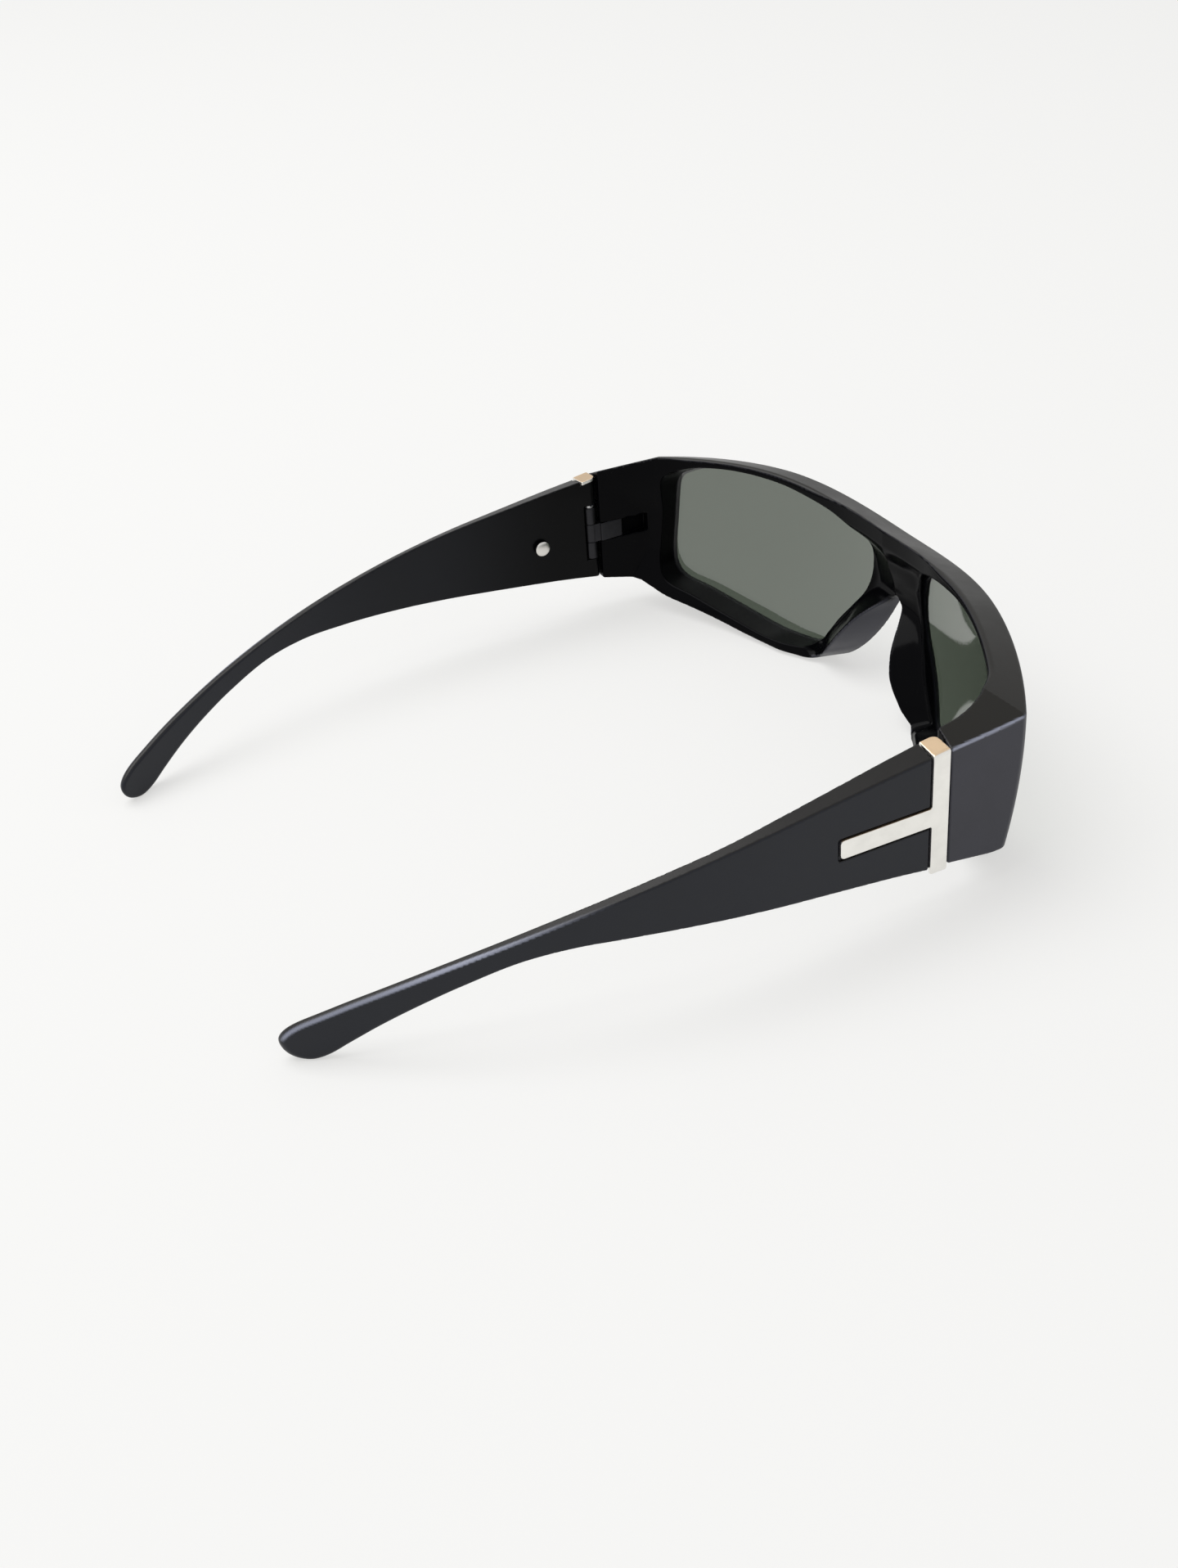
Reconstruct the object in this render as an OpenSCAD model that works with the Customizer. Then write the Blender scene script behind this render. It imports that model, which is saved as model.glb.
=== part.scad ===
// Wraparound sunglasses, open, standing on a table.
// +X is the wearer's left, the front faces -Y, the temples run back to +Y and +Z is up.
// Lengths along Y are first counted from the hinge line, where the side panels end.
// The whole model is then moved along Y, so that the origin lies under the middle of its box.

/* [Front] */
// Width over the outer faces at the hinge line
front_w = 136; // [124:1:148]
// How far each side panel leans in at its front corner
corner_in = 1.8; // [0:0.1:3]
// Thickness of a side panel
side_t = 4.6; // [4.5:0.1:6]
// How far the bridge stands forward of the hinge line
nose_forward = 38.6; // [34:0.2:44]
// Radius of the ball on which the front lies
front_r = 112.5; // [100:0.5:130]
// Height at which the front reaches furthest forward
curve_z = 30.4; // [24:0.2:34]
// Depth of the rims from front to back
rim_depth = 6.2; // [5:0.1:7]
// Thickness of the brow over the highest point of the lens opening
brow_t = 1.5; // [1.4:0.1:4]
// Distance of the brow's highest point from the middle
brow_x = 34; // [30:0.5:38]
// Rise of the top faces towards the back, per unit of length
top_slope = 0.3; // [0.1:0.05:0.4]
// Height of the bridge's top edge
bridge_top_z = 34.8; // [30:0.2:36]
// Height of the front's top edge at the hinge line
end_top_z = 32.6; // [31:0.1:34]
// Height of a side panel's lower edge at the hinge line
end_bottom_z = 8.7; // [7:0.1:10]
// Height of the lower edge at the front corner
corner_bottom_z = 6.2; // [4:0.1:7]
// Distance from the middle at which the lower rims begin to rise
rest_end_x = 28; // [24:0.5:32]
// Length of the bevel between a side panel's inner face and its front corner
bevel_len = 4.2; // [3:0.1:5]
// Width by which that bevel narrows the way to the lens
bevel_w = 1.4; // [0.8:0.1:1.8]

/* [Nose] */
// Height of the gap for the nose
arch_h = 21; // [14:0.2:22]
// Half of the gap's width where it meets the table
arch_half_w = 18.4; // [16:0.2:20]
// Radius of the round pad beside the nose
pad_r = 11; // [9:0.5:13]
// Distance of a pad's centre from the middle
pad_x = 9.5; // [8:0.5:11]
// Height of a pad's centre
pad_z = 8; // [7:0.5:11]
// How far the pads reach back from the front of the bridge
pad_reach = 12.6; // [11:0.2:14]

/* [Lenses] */
// Angle by which each lens turns towards its side
lens_turn = 18; // [15:0.5:21]
// How far a lens opening reaches from the lens axis towards the nose
lens_in = 25.8; // [24:0.1:27]
// Height of the lower edge of the lens openings
lens_z = 1.7; // [1.6:0.1:2.5]
// Width of a lens opening
lens_w = 55.6; // [50:0.2:57]
// Height of a lens opening
lens_h = 33.6; // [28:0.2:34]
// Thickness of a lens
lens_t = 1.6; // [1.4:0.1:2.4]
// How far a lens is set back from the front of its rim
lens_inset = 0.3; // [0.2:0.1:1.4]
// Depth of the groove that holds a lens
groove = 0.6; // [0.4:0.05:0.8]
// Gap all round a lens in its groove
lens_fit = 0.05; // [0.02:0.01:0.1]

/* [Temples] */
// Length from the hinge line to the end of the tip
temple_len = 119.1; // [108:0.1:125]
// Thickness at the hinge
temple_t = 4.5; // [4.5:0.1:5]
// Thickness where the bend begins
bend_t = 2.7; // [2.4:0.1:3.4]
// Thickness of the part that bends
tip_t = 2; // [1.8:0.1:2.6]
// Length of the straight part
straight_len = 30; // [26:1:45]
// Radius of the bend that follows it
bend_r = 195; // [150:1:220]
// Height of the top edge at the hinge line
temple_top_z = 33.1; // [32:0.1:34]
// Height of the lower edge at the hinge line
temple_bottom_z = 8; // [7:0.1:9]
// Height of the lower edge at the narrowest part
waist_z = 15.9; // [14:0.1:17]
// Distance of the narrowest part from the hinge line
waist_y = 72; // [66:0.5:78]
// Height of the tip's end
tip_h = 7.9; // [7:0.1:10]
// Length of the rounded end that rises from the table
tip_round = 4.1; // [3:0.1:5]
// Gap between a side panel and its temple
end_gap = 0.4; // [0.3:0.05:0.6]

/* [Hinges] */
// Radius of the knuckles
knuckle_r = 1.55; // [1.4:0.05:1.6]
// Least gap between the turning knuckles and the side panel
knuckle_gap = 0.3; // [0.25:0.05:0.4]
// Height of the middle of the tongue
tongue_z = 20.2; // [17:0.1:21]
// Height of the tongue from its lower to its upper face
tongue_h = 4.2; // [3.4:0.1:5]
// Height of each of the two knuckles on the temple
knuckle_h = 3.9; // [3:0.1:5]
// Gap between the tongue and each knuckle
hinge_play = 0.1; // [0.05:0.01:0.2]
// Radius of the hinge screw
screw_r = 0.6; // [0.5:0.05:0.7]
// Running clearance of the screw in the tongue
screw_run = 0.05; // [0.03:0.01:0.08]
// Radius of the screw's head
screw_head_r = 1.1; // [0.9:0.05:1.2]
// Height of the screw's head
screw_head_h = 0.6; // [0.4:0.1:0.8]
// Width of the slot in the screw's head
screw_slot = 0.35; // [0.25:0.05:0.5]
// Length of the tongue's root in the side panel
root_len = 5.2; // [4:0.1:6]
// How far the root stands out of the side panel's inner face
root_rise = 0.4; // [0:0.1:0.6]
// Length of the buried plate of the temple's leaf
plate_len = 6; // [4:0.2:8]
// Thickness of the buried plate
plate_t = 1; // [0.8:0.1:1.2]
// Length of the shallow recess in front of the root
recess_len = 6; // [4:0.2:6.4]
// Depth of that recess
recess_depth = 0.6; // [0.4:0.1:0.8]

/* [Trims] */
// Width of the bar
bar_w = 3.5; // [3:0.1:4]
// Thickness of the bar and the arm
trim_t = 0.7; // [0.6:0.05:0.75]
// How far the trim stands out of the temple
trim_rise = 0.2; // [0.1:0.05:0.3]
// Height of the bar's lower end
bar_bottom_z = 7.9; // [7.6:0.1:8]
// Thickness of the fold over the temple's top edge
cap_t = 0.8; // [0.6:0.1:1]
// Length of the arm behind the bar
arm_len = 18.8; // [14:0.2:22]
// Height of the arm
arm_h = 3.8; // [3:0.1:4.5]
// Height of the arm's middle
arm_z = 20; // [16:0.1:21]
// Radius of the corners at the arm's free end
arm_corner_r = 0.8; // [0.4:0.1:1.2]
// Gap round the trim in its recess
trim_gap = 0.15; // [0.1:0.05:0.3]
// Distance of the rivet behind the hinge line
rivet_y = 14.4; // [11:0.2:16]
// Radius of the rivet's shank
rivet_r = 0.9; // [0.7:0.05:1.1]
// Radius of the rivet's head
rivet_head_r = 1.7; // [1.2:0.05:1.8]
// Height of the rivet's head
rivet_head_h = 0.5; // [0.3:0.1:0.8]

/* [Hidden] */

FRAME_BLACK = [0.1, 0.1, 0.11];
HINGE_BLACK = [0.16, 0.16, 0.17];
LENS_GREEN = [0.35, 0.4, 0.36, 0.6];
SILVER = [0.8, 0.79, 0.76];

// Slack by which a cutting shape passes the face that it cuts
over = 1;
// Fine steps for the large round surfaces
fine = 240;
// Steps between two chosen points of an outline
steps = 4;
// Steps of the front's top and lower edges
edge_steps = 24;
// Steps of the small round parts
small = 48;
// Handles of the rising lower edge, as shares of its run and its rise
low_handles = [[0.21, 0], [0.69, 0.58]];
// Place on that edge, from 0 to 1, where the side panel's lower edge leaves it
low_share = 0.86;
// Hair by which joined shapes overlap, so that no gap is left between them
hair = 0.01;
// Free space round the turning parts of the hinge
hinge_room = 0.15;

half_w = front_w / 2;
corner_x = half_w - corner_in;
origin_y = (temple_len - nose_forward) / 2;

// Centre of the front ball, and the length of a side panel up to its corner on the ball
front_cy = front_r - nose_forward;
side_len = sqrt(front_r * front_r - corner_x * corner_x) - front_cy;

lens_top_z = lens_z + lens_h;
brow_z = lens_top_z + brow_t;
// Height that clears every sloping top face
clear_z = brow_z + nose_forward * top_slope;
slope_angle = atan(top_slope);

// Pin of the left hinge
pin_x = half_w - temple_t + knuckle_r;
pin_y = knuckle_r + knuckle_gap;
tongue_lo = tongue_z - tongue_h / 2;
tongue_hi = tongue_z + tongue_h / 2;
upper_lo = tongue_hi + hinge_play;
upper_hi = upper_lo + knuckle_h;
lower_hi = tongue_lo - hinge_play;
lower_lo = lower_hi - knuckle_h;
// Back face of the space in which the hinge turns
slot_back = pin_y + knuckle_r + hinge_room;
// The temple's inner face at the hinge
inner_x = half_w - temple_t;
bar_y = end_gap;
bar_end = bar_y + bar_w;
arm_end = bar_end + arm_len;
seat_x = half_w + trim_rise - trim_t;
cap_top = temple_top_z + trim_rise;

// Point at share u of a curve with four handles
function bez(a, b, c, d, u) =
  a * pow(1 - u, 3) + b * 3 * u * pow(1 - u, 2) + c * 3 * u * u * (1 - u) + d * pow(u, 3);
function curve(a, b, c, d, n) = [for (i = [0 : n - 1]) bez(a, b, c, d, i / n)];

// Closed smooth curve through points, with n steps between neighbours
function between(a, b, c, d, u) =
  0.5 * (2 * b + (c - a) * u + (2 * a - 5 * b + 4 * c - d) * u * u
  + (3 * b - a - 3 * c + d) * u * u * u);
function smooth_loop(p, n) =
  let (m = len(p))
  [for (i = [0 : m - 1]) for (k = [0 : n - 1])
    between(p[(i + m - 1) % m], p[i], p[(i + 1) % m], p[(i + 2) % m], k / n)];

// Outline moved out by d, square to itself at each point
function grown(p, d) =
  let (m = len(p))
  [for (i = [0 : m - 1])
    let (t = p[(i + 1) % m] - p[(i + m - 1) % m])
    p[i] + d * [t.y, -t.x] / norm(t)];

// Shape of a lens opening as shares of its width and height, from its nose side over the bottom
lens_shape = [
  [0, 0.74], [0.01, 0.61], [0.045, 0.48], [0.095, 0.365], [0.15, 0.25], [0.2, 0.13],
  [0.24, 0.045], [0.295, 0.01], [0.465, 0], [0.665, 0.05], [0.825, 0.11], [0.93, 0.15],
  [0.98, 0.215], [1, 0.335], [1, 0.54], [0.995, 0.73], [0.98, 0.84], [0.93, 0.9],
  [0.84, 0.95], [0.665, 0.99], [0.465, 1], [0.32, 0.98], [0.175, 0.945], [0.07, 0.89], [0.015, 0.83]
];
lens_outline = smooth_loop(
  [for (p = lens_shape) [p.x * lens_w - lens_in, lens_z + p.y * lens_h]], steps);

// Height of the front's top edge at distance x from the middle
function ease(u) = u * u * (3 - 2 * u);
function top_at(x) =
  x < brow_x
  ? bridge_top_z + (brow_z - bridge_top_z) * ease(x / brow_x)
  : brow_z - (brow_z - end_top_z) * pow((x - brow_x) / (half_w - brow_x), 2);
// Point of the front's lower edge, from its rest on the table at 0 to the front corner at 1
function low_at(u) =
  let (run = corner_x - rest_end_x, z = corner_bottom_z)
  bez([rest_end_x, 0],
    [rest_end_x + low_handles[0].x * run, low_handles[0].y * z],
    [rest_end_x + low_handles[1].x * run, low_handles[1].y * z],
    [corner_x, z], u);

// Shape of half the nose gap as shares of its half width and height, from the top down
arch_shape = [[0, 1], [0.07, 0.962], [0.14, 0.857], [0.227, 0.71], [0.33, 0.552], [0.46, 0.386],
  [0.605, 0.229], [0.778, 0.095], [1, 0]];
arch_curve = [for (p = arch_shape) [p.x * arch_half_w, p.y * arch_h]];
edge_step = half_w / edge_steps;
half_front = concat(
  arch_curve,
  [for (i = [0 : edge_steps]) low_at(i / edge_steps)],
  [[half_w + over, corner_bottom_z]],
  [[half_w + over, end_top_z - over * top_slope]],
  [[0, end_top_z + half_w * top_slope]]
);

// Height at which a top face that passes through the front edge at x would meet the hinge line
function top_ref(x) =
  let (z = top_at(x), dz = z - curve_z)
  z - top_slope * (front_cy - sqrt(front_r * front_r - x * x - dz * dz));

// Space under the sloping top faces of brow and bridge
module under_top() {
  rotate([90 + slope_angle, 0, 0])
    linear_extrude(3 * nose_forward, center = true)
      polygon(concat(
        [[0, -over], [half_w + over, -over]],
        [for (i = [edge_steps : -1 : 0]) [i * edge_step, top_ref(i * edge_step) * cos(slope_angle)]]
      ));
}

// Extrusion along a lens axis of an outline drawn square to the lens
module through_lens(outline) {
  translate([0, front_cy, 0])
    rotate([0, 0, lens_turn])
      translate([0, -front_r - over, 0])
        rotate([-90, 0, 0])
          mirror([0, 1, 0])
            linear_extrude(nose_forward)
              polygon(outline);
}

// Upright extrusion of an outline drawn in X and Z, running the whole depth of the front
module through_front(outline) {
  translate([0, over, 0])
    rotate([90, 0, 0])
      linear_extrude(nose_forward + 2 * over)
        polygon(outline);
}

// Ball that bounds the front at a depth behind its outer face
module front_ball(depth) {
  translate([0, front_cy, curve_z])
    sphere(r = front_r - depth, $fn = fine);
}

// Side of the bevel that faces the lens
panel_in_x = half_w - side_t - bevel_w;

// Plan of a side panel: it leans in towards the front, and a bevel leads over to the rim
module side_panel() {
  bevel_y = bevel_len - side_len;
  lean = corner_in / side_len;
  linear_extrude(clear_z)
    polygon([
      [half_w, 0],
      [half_w - side_t, 0],
      [half_w - side_t + lean * bevel_y, bevel_y],
      [panel_in_x + lean * bevel_y, bevel_y - bevel_len / 2],
      [panel_in_x + lean * bevel_y, -side_len - bevel_len],
      [corner_x, -side_len - bevel_len],
      [corner_x, -side_len]
    ]);
}

// Wedge that lets the side panel's lower edge rise towards the hinge
module side_wedge() {
  start = low_at(low_share);
  slope = (end_bottom_z - start.y) / side_len;
  translate([start.x, 0, 0])
    rotate([90, 0, 90])
      linear_extrude(2 * side_t)
        polygon([
          [-side_len, start.y],
          [over, end_bottom_z + over * slope],
          [over, -over],
          [-side_len, -over]
        ]);
}

module rim_half() {
  difference() {
    intersection() {
      union() {
        difference() {
          translate([0, -nose_forward - over, 0])
            cube([corner_x, nose_forward, clear_z]);
          front_ball(rim_depth);
        }
        side_panel();
        nose_pad();
      }
      front_ball(0);
      under_top();
      through_front(half_front);
    }
    through_lens(lens_outline);
    lens_groove();
    side_wedge();
    leaf_pocket();
  }
}

module nose_pad() {
  intersection() {
    translate([pad_x, pad_reach - pad_r - nose_forward, pad_z])
      sphere(r = pad_r, $fn = fine);
    translate([0, -nose_forward - over, 0])
      cube([half_w, nose_forward, brow_z]);
  }
}

module lens_groove() {
  intersection() {
    difference() {
      front_ball(lens_inset - lens_fit);
      front_ball(lens_inset + lens_t + lens_fit);
    }
    through_lens(grown(lens_outline, groove));
  }
}

// Pocket for the tongue's root, and the shallow recess in front of it
module leaf_pocket() {
  translate([inner_x - over, -root_len, tongue_lo])
    cube([over + 2 * knuckle_r, root_len + over, tongue_h]);
  translate([half_w - side_t - over, -root_len - recess_len, tongue_lo])
    cube([over + recess_depth, recess_len, tongue_h]);
}

module lens() {
  intersection() {
    difference() {
      front_ball(lens_inset);
      front_ball(lens_inset + lens_t);
    }
    through_lens(grown(lens_outline, groove - lens_fit));
  }
}

// The frame's half of the hinge: a tongue with its root
module front_leaf() {
  difference() {
    union() {
      translate([inner_x - root_rise, -root_len, tongue_lo])
        cube([2 * knuckle_r + root_rise, root_len, tongue_h]);
      translate([pin_x - knuckle_r, 0, tongue_lo])
        cube([2 * knuckle_r, pin_y, tongue_h]);
      translate([pin_x, pin_y, tongue_lo])
        cylinder(r = knuckle_r, h = tongue_h, $fn = small);
    }
    translate([pin_x, pin_y, tongue_lo - over])
      cylinder(r = screw_r + screw_run, h = tongue_h + 2 * over, $fn = small);
  }
}

// The temple's half of the hinge: two knuckles on a buried plate
module temple_leaf() {
  plate_x = pin_x - plate_t / 2;
  difference() {
    union() {
      for (lo = [lower_lo, upper_lo])
        translate([pin_x, pin_y, lo]) {
          cylinder(r = knuckle_r, h = knuckle_h, $fn = small);
          translate([-plate_t / 2, 0, 0])
            cube([plate_t, slot_back - pin_y + over, knuckle_h]);
        }
      translate([plate_x, slot_back, lower_lo])
        cube([plate_t, plate_len, upper_hi - lower_lo]);
    }
    translate([pin_x, pin_y, lower_lo - over])
      cylinder(r = screw_r + screw_run / 2, h = upper_hi - lower_lo + 2 * over, $fn = small);
  }
}

module hinge_screw() {
  translate([pin_x, pin_y, lower_lo])
    cylinder(r = screw_r, h = upper_hi - lower_lo, $fn = small);
  translate([pin_x, pin_y, upper_hi])
    difference() {
      cylinder(r = screw_head_r, h = screw_head_h, $fn = small);
      translate([-screw_head_r, -screw_slot / 2, screw_head_h / 2])
        cube([2 * screw_head_r, screw_slot, screw_head_h]);
    }
}

// Plan of a temple: it narrows over its straight part, then bends at one thickness
module temple_plan() {
  taper = (temple_t - bend_t) / straight_len;
  far_y = temple_len + over;
  difference() {
    union() {
      translate([0, end_gap, 0])
        cube([half_w, straight_len - end_gap, temple_top_z + over]);
      intersection() {
        translate([half_w - bend_r, straight_len, 0])
          cylinder(r = bend_r, h = temple_top_z + over, $fn = fine);
        translate([0, straight_len - hair, 0])
          cube([half_w, temple_len, temple_top_z + over]);
      }
    }
    intersection() {
      translate([0, 0, -over])
        linear_extrude(temple_top_z + 3 * over)
          polygon([
            [-over, 0], [inner_x, 0], [inner_x + taper * far_y, far_y], [-over, far_y]
          ]);
      union() {
        translate([-over, -over, -over])
          cube([half_w + over, straight_len + over, temple_top_z + 3 * over]);
        translate([half_w - bend_r, straight_len, -over])
          cylinder(r = bend_r - tip_t, h = temple_top_z + 3 * over, $fn = fine);
      }
    }
  }
}

// Side view of a temple, drawn in Y and Z: top edge, rounded tip, foot, waist and lower edge
drop = temple_top_z - tip_h;
tip_y = temple_len - tip_round;
foot_y = tip_y - 0.2 * tip_round;
foot_back = foot_y - 0.2 * tip_round;
waist_run = foot_back - waist_y;
waist_rise = waist_z - temple_bottom_z;
temple_side = concat(
  curve([0, temple_top_z], [0.333 * tip_y, temple_top_z - 0.168 * drop],
    [0.678 * tip_y, temple_top_z - 0.385 * drop], [tip_y, tip_h], 20),
  curve([tip_y, tip_h], [temple_len + 0.92 * tip_round, 0.67 * tip_h],
    [foot_y + 0.75 * tip_round, 0], [foot_y, 0], 8),
  [[foot_y, 0]],
  curve([foot_back, 0], [foot_back - 0.04 * waist_run, 0.048 * waist_z],
    [waist_y + 0.436 * waist_run, waist_z], [waist_y, waist_z], 14),
  curve([waist_y, waist_z], [0.832 * waist_y, waist_z],
    [0.42 * waist_y, temple_bottom_z + 0.536 * waist_rise], [0, temple_bottom_z], 12),
  [[0, temple_bottom_z]]
);

module temple() {
  difference() {
    intersection() {
      temple_plan();
      rotate([90, 0, 90])
        linear_extrude(half_w + over)
          polygon(temple_side);
    }
    hinge_slot();
    trim_recess();
    translate([inner_x - over, rivet_y, arm_z])
      rotate([0, 90, 0])
        cylinder(r = rivet_r, h = temple_t + 2 * over, $fn = small);
  }
}

// Space in the temple's end for the knuckles, the tongue and the buried plate
module hinge_slot() {
  room_lo = lower_lo - hinge_room;
  room_h = upper_hi + screw_head_h + hinge_room - room_lo;
  translate([pin_x, pin_y, room_lo])
    cylinder(r = knuckle_r + hinge_room, h = room_h, $fn = small);
  translate([inner_x - over, 0, room_lo])
    cube([over + 2 * knuckle_r + hinge_room, pin_y, room_h]);
  translate([inner_x - over, pin_y - over, room_lo])
    cube([over + knuckle_r, slot_back - pin_y + over, room_h]);
  translate([pin_x - plate_t / 2, pin_y, lower_lo])
    cube([plate_t, slot_back - pin_y + plate_len, upper_hi - lower_lo]);
  end_rounding();
}

// Rounds the inner corner of the temple's end, so that it clears the side panel when it turns
module end_rounding() {
  translate([inner_x - over, end_gap - over, 0])
    difference() {
      cube([over + knuckle_r, pin_y - end_gap + over, temple_top_z + over]);
      translate([over + knuckle_r, pin_y - end_gap + over, -over])
        cylinder(r = knuckle_r, h = temple_top_z + 3 * over, $fn = small);
    }
}

module trim_recess() {
  translate([seat_x, 0, bar_bottom_z - trim_gap])
    cube([trim_t + over, bar_end + trim_gap, cap_top - bar_bottom_z]);
  translate([seat_x, bar_y, arm_z - arm_h / 2 - trim_gap])
    cube([trim_t + over, arm_end + trim_gap - bar_y, arm_h + 2 * trim_gap]);
  translate([0, 0, cap_top - cap_t])
    cube([half_w + over, bar_end + trim_gap, cap_t + over]);
}

// T-shaped trim: a bar with a fold over the top edge, and an arm with rounded corners
module plaque() {
  arm_lo = arm_z - arm_h / 2;
  translate([seat_x, bar_y, bar_bottom_z])
    cube([trim_t, bar_w, cap_top - bar_bottom_z]);
  difference() {
    translate([inner_x, bar_y, cap_top - cap_t])
      cube([seat_x + trim_t - inner_x, bar_w, cap_t]);
    end_rounding();
  }
  translate([seat_x, bar_end - over, arm_lo])
    cube([trim_t, arm_len - arm_corner_r + over, arm_h]);
  translate([seat_x, arm_end - arm_corner_r - over, arm_lo + arm_corner_r])
    cube([trim_t, arm_corner_r + over, arm_h - 2 * arm_corner_r]);
  for (z = [arm_lo + arm_corner_r, arm_lo + arm_h - arm_corner_r])
    translate([seat_x, arm_end - arm_corner_r, z])
      rotate([0, 90, 0])
        cylinder(r = arm_corner_r, h = trim_t, $fn = small);
}

module rivet() {
  translate([inner_x, rivet_y, arm_z])
    rotate([0, 90, 0])
      cylinder(r = rivet_r, h = seat_x - inner_x, $fn = small);
  translate([inner_x - rivet_head_h, rivet_y, arm_z])
    rotate([0, 90, 0])
      cylinder(r1 = rivet_head_r - rivet_head_h / 2, r2 = rivet_head_r, h = rivet_head_h, $fn = small);
}

// The left side as drawn, the right side as its mirror image
module on_left() {
  translate([0, -origin_y, 0])
    children();
}
module on_right() {
  mirror([1, 0, 0])
    on_left()
      children();
}

module front_frame() {
  color(FRAME_BLACK) {
    on_left() rim_half();
    on_right() rim_half();
  }
}
module left_lens() { color(LENS_GREEN) on_left() lens(); }
module right_lens() { color(LENS_GREEN) on_right() lens(); }
module left_front_leaf() { color(HINGE_BLACK) on_left() front_leaf(); }
module right_front_leaf() { color(HINGE_BLACK) on_right() front_leaf(); }
module left_temple() { color(FRAME_BLACK) on_left() temple(); }
module right_temple() { color(FRAME_BLACK) on_right() temple(); }
module left_temple_leaf() { color(HINGE_BLACK) on_left() temple_leaf(); }
module right_temple_leaf() { color(HINGE_BLACK) on_right() temple_leaf(); }
module left_hinge_screw() { color(SILVER) on_left() hinge_screw(); }
module right_hinge_screw() { color(SILVER) on_right() hinge_screw(); }
module left_plaque() { color(SILVER) on_left() plaque(); }
module right_plaque() { color(SILVER) on_right() plaque(); }
module left_rivet() { color(SILVER) on_left() rivet(); }
module right_rivet() { color(SILVER) on_right() rivet(); }

front_frame();
left_lens();
right_lens();
left_front_leaf();
right_front_leaf();
left_temple();
right_temple();
left_temple_leaf();
right_temple_leaf();
left_hinge_screw();
right_hinge_screw();
left_plaque();
right_plaque();
left_rivet();
right_rivet();
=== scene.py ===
# %% [markdown]
# Wraparound sunglasses, standing open on a table, seen from behind and above.
# The CAD frame gives the bodies, the joints and every size. This lesson dresses it: one moulded
# front, two temples, tinted lenses, steel trims and the small metal of the hinges.

# %% Load the fixed frame
import math

import bpy
import numpy as np
from mathutils import Matrix, Vector


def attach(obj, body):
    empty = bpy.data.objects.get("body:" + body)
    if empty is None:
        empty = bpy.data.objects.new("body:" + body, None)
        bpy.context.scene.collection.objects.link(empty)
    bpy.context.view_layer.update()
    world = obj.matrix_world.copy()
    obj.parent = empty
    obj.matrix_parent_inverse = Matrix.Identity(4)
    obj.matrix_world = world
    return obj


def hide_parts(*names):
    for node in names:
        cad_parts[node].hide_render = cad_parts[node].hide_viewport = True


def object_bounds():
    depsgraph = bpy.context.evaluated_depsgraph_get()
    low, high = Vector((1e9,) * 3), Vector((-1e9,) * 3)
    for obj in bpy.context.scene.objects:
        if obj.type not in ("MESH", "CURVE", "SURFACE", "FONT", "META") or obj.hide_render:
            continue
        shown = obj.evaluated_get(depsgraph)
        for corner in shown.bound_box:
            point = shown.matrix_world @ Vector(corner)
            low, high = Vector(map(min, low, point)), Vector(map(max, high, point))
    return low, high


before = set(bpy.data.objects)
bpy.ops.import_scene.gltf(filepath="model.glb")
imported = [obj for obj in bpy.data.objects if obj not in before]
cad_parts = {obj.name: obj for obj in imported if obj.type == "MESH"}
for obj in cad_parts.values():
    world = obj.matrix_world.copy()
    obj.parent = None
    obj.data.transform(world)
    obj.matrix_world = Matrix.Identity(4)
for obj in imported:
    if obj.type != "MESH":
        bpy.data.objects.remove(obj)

cad_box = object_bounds()
print("CAD box", [[round(v, 4) for v in corner] for corner in cad_box])

# %% [markdown]
# Sizes are written in millimetres, as on a workshop drawing, and counted along Y from the hinge
# line. The CAD frame has its origin under the middle of the box, so one shift joins the two.

# %% Sizes shared by all pieces
MM = 0.001
HINGE_Y = -40.25

FRONT_W, CORNER_IN, SIDE_T = 136.0, 1.8, 4.6
NOSE_FORWARD, FRONT_R, CURVE_Z = 38.6, 112.5, 30.4
RIM_DEPTH, LOW_EXTRA, BROW_Z, BROW_X, BROW_POWER = 6.2, 2.1, 36.8, 34.0, 1.7
BRIDGE_TOP, END_TOP, END_BOTTOM = 34.8, 32.6, 8.7
BEVEL_LEN, BEVEL_W, TOP_SLOPE = 4.2, 1.4, 0.3
LENS_T, LENS_INSET, GROOVE, LENS_FIT, LENS_TURN = 1.6, 0.3, 0.6, 0.05, 18.0
TEMPLE_LEN, TEMPLE_T, WAIST_T, TIP_T, STRAIGHT, BEND_R = 119.1, 4.5, 2.7, 1.95, 30.0, 195.0
TEMPLE_TOP, END_GAP = 32.6, 0.4
KNUCKLE_R, KNUCKLE_GAP, TONGUE_Z, TONGUE_H, KNUCKLE_H = 1.55, 0.3, 20.2, 4.2, 3.9
HINGE_PLAY, SCREW_R, HEAD_R, HEAD_H, SCREW_SLOT = 0.1, 0.6, 1.1, 0.6, 0.35
ROOT_LEN, ROOT_RISE, PLATE_LEN, PLATE_T = 5.2, 0.4, 6.0, 1.0
RECESS_LEN, RECESS_DEPTH, HINGE_ROOM = 6.0, 0.6, 0.15
BAR_W, TRIM_T, TRIM_RISE, BAR_BOTTOM, CAP_T = 3.5, 0.7, 0.2, 7.9, 0.8
ARM_LEN, ARM_H, ARM_Z, ARM_CORNER, TRIM_GAP = 18.8, 3.8, 20.0, 0.8, 0.32
RIVET_Y, RIVET_R, RIVET_HEAD_R, RIVET_HEAD_H = 14.4, 0.9, 1.7, 0.5

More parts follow.
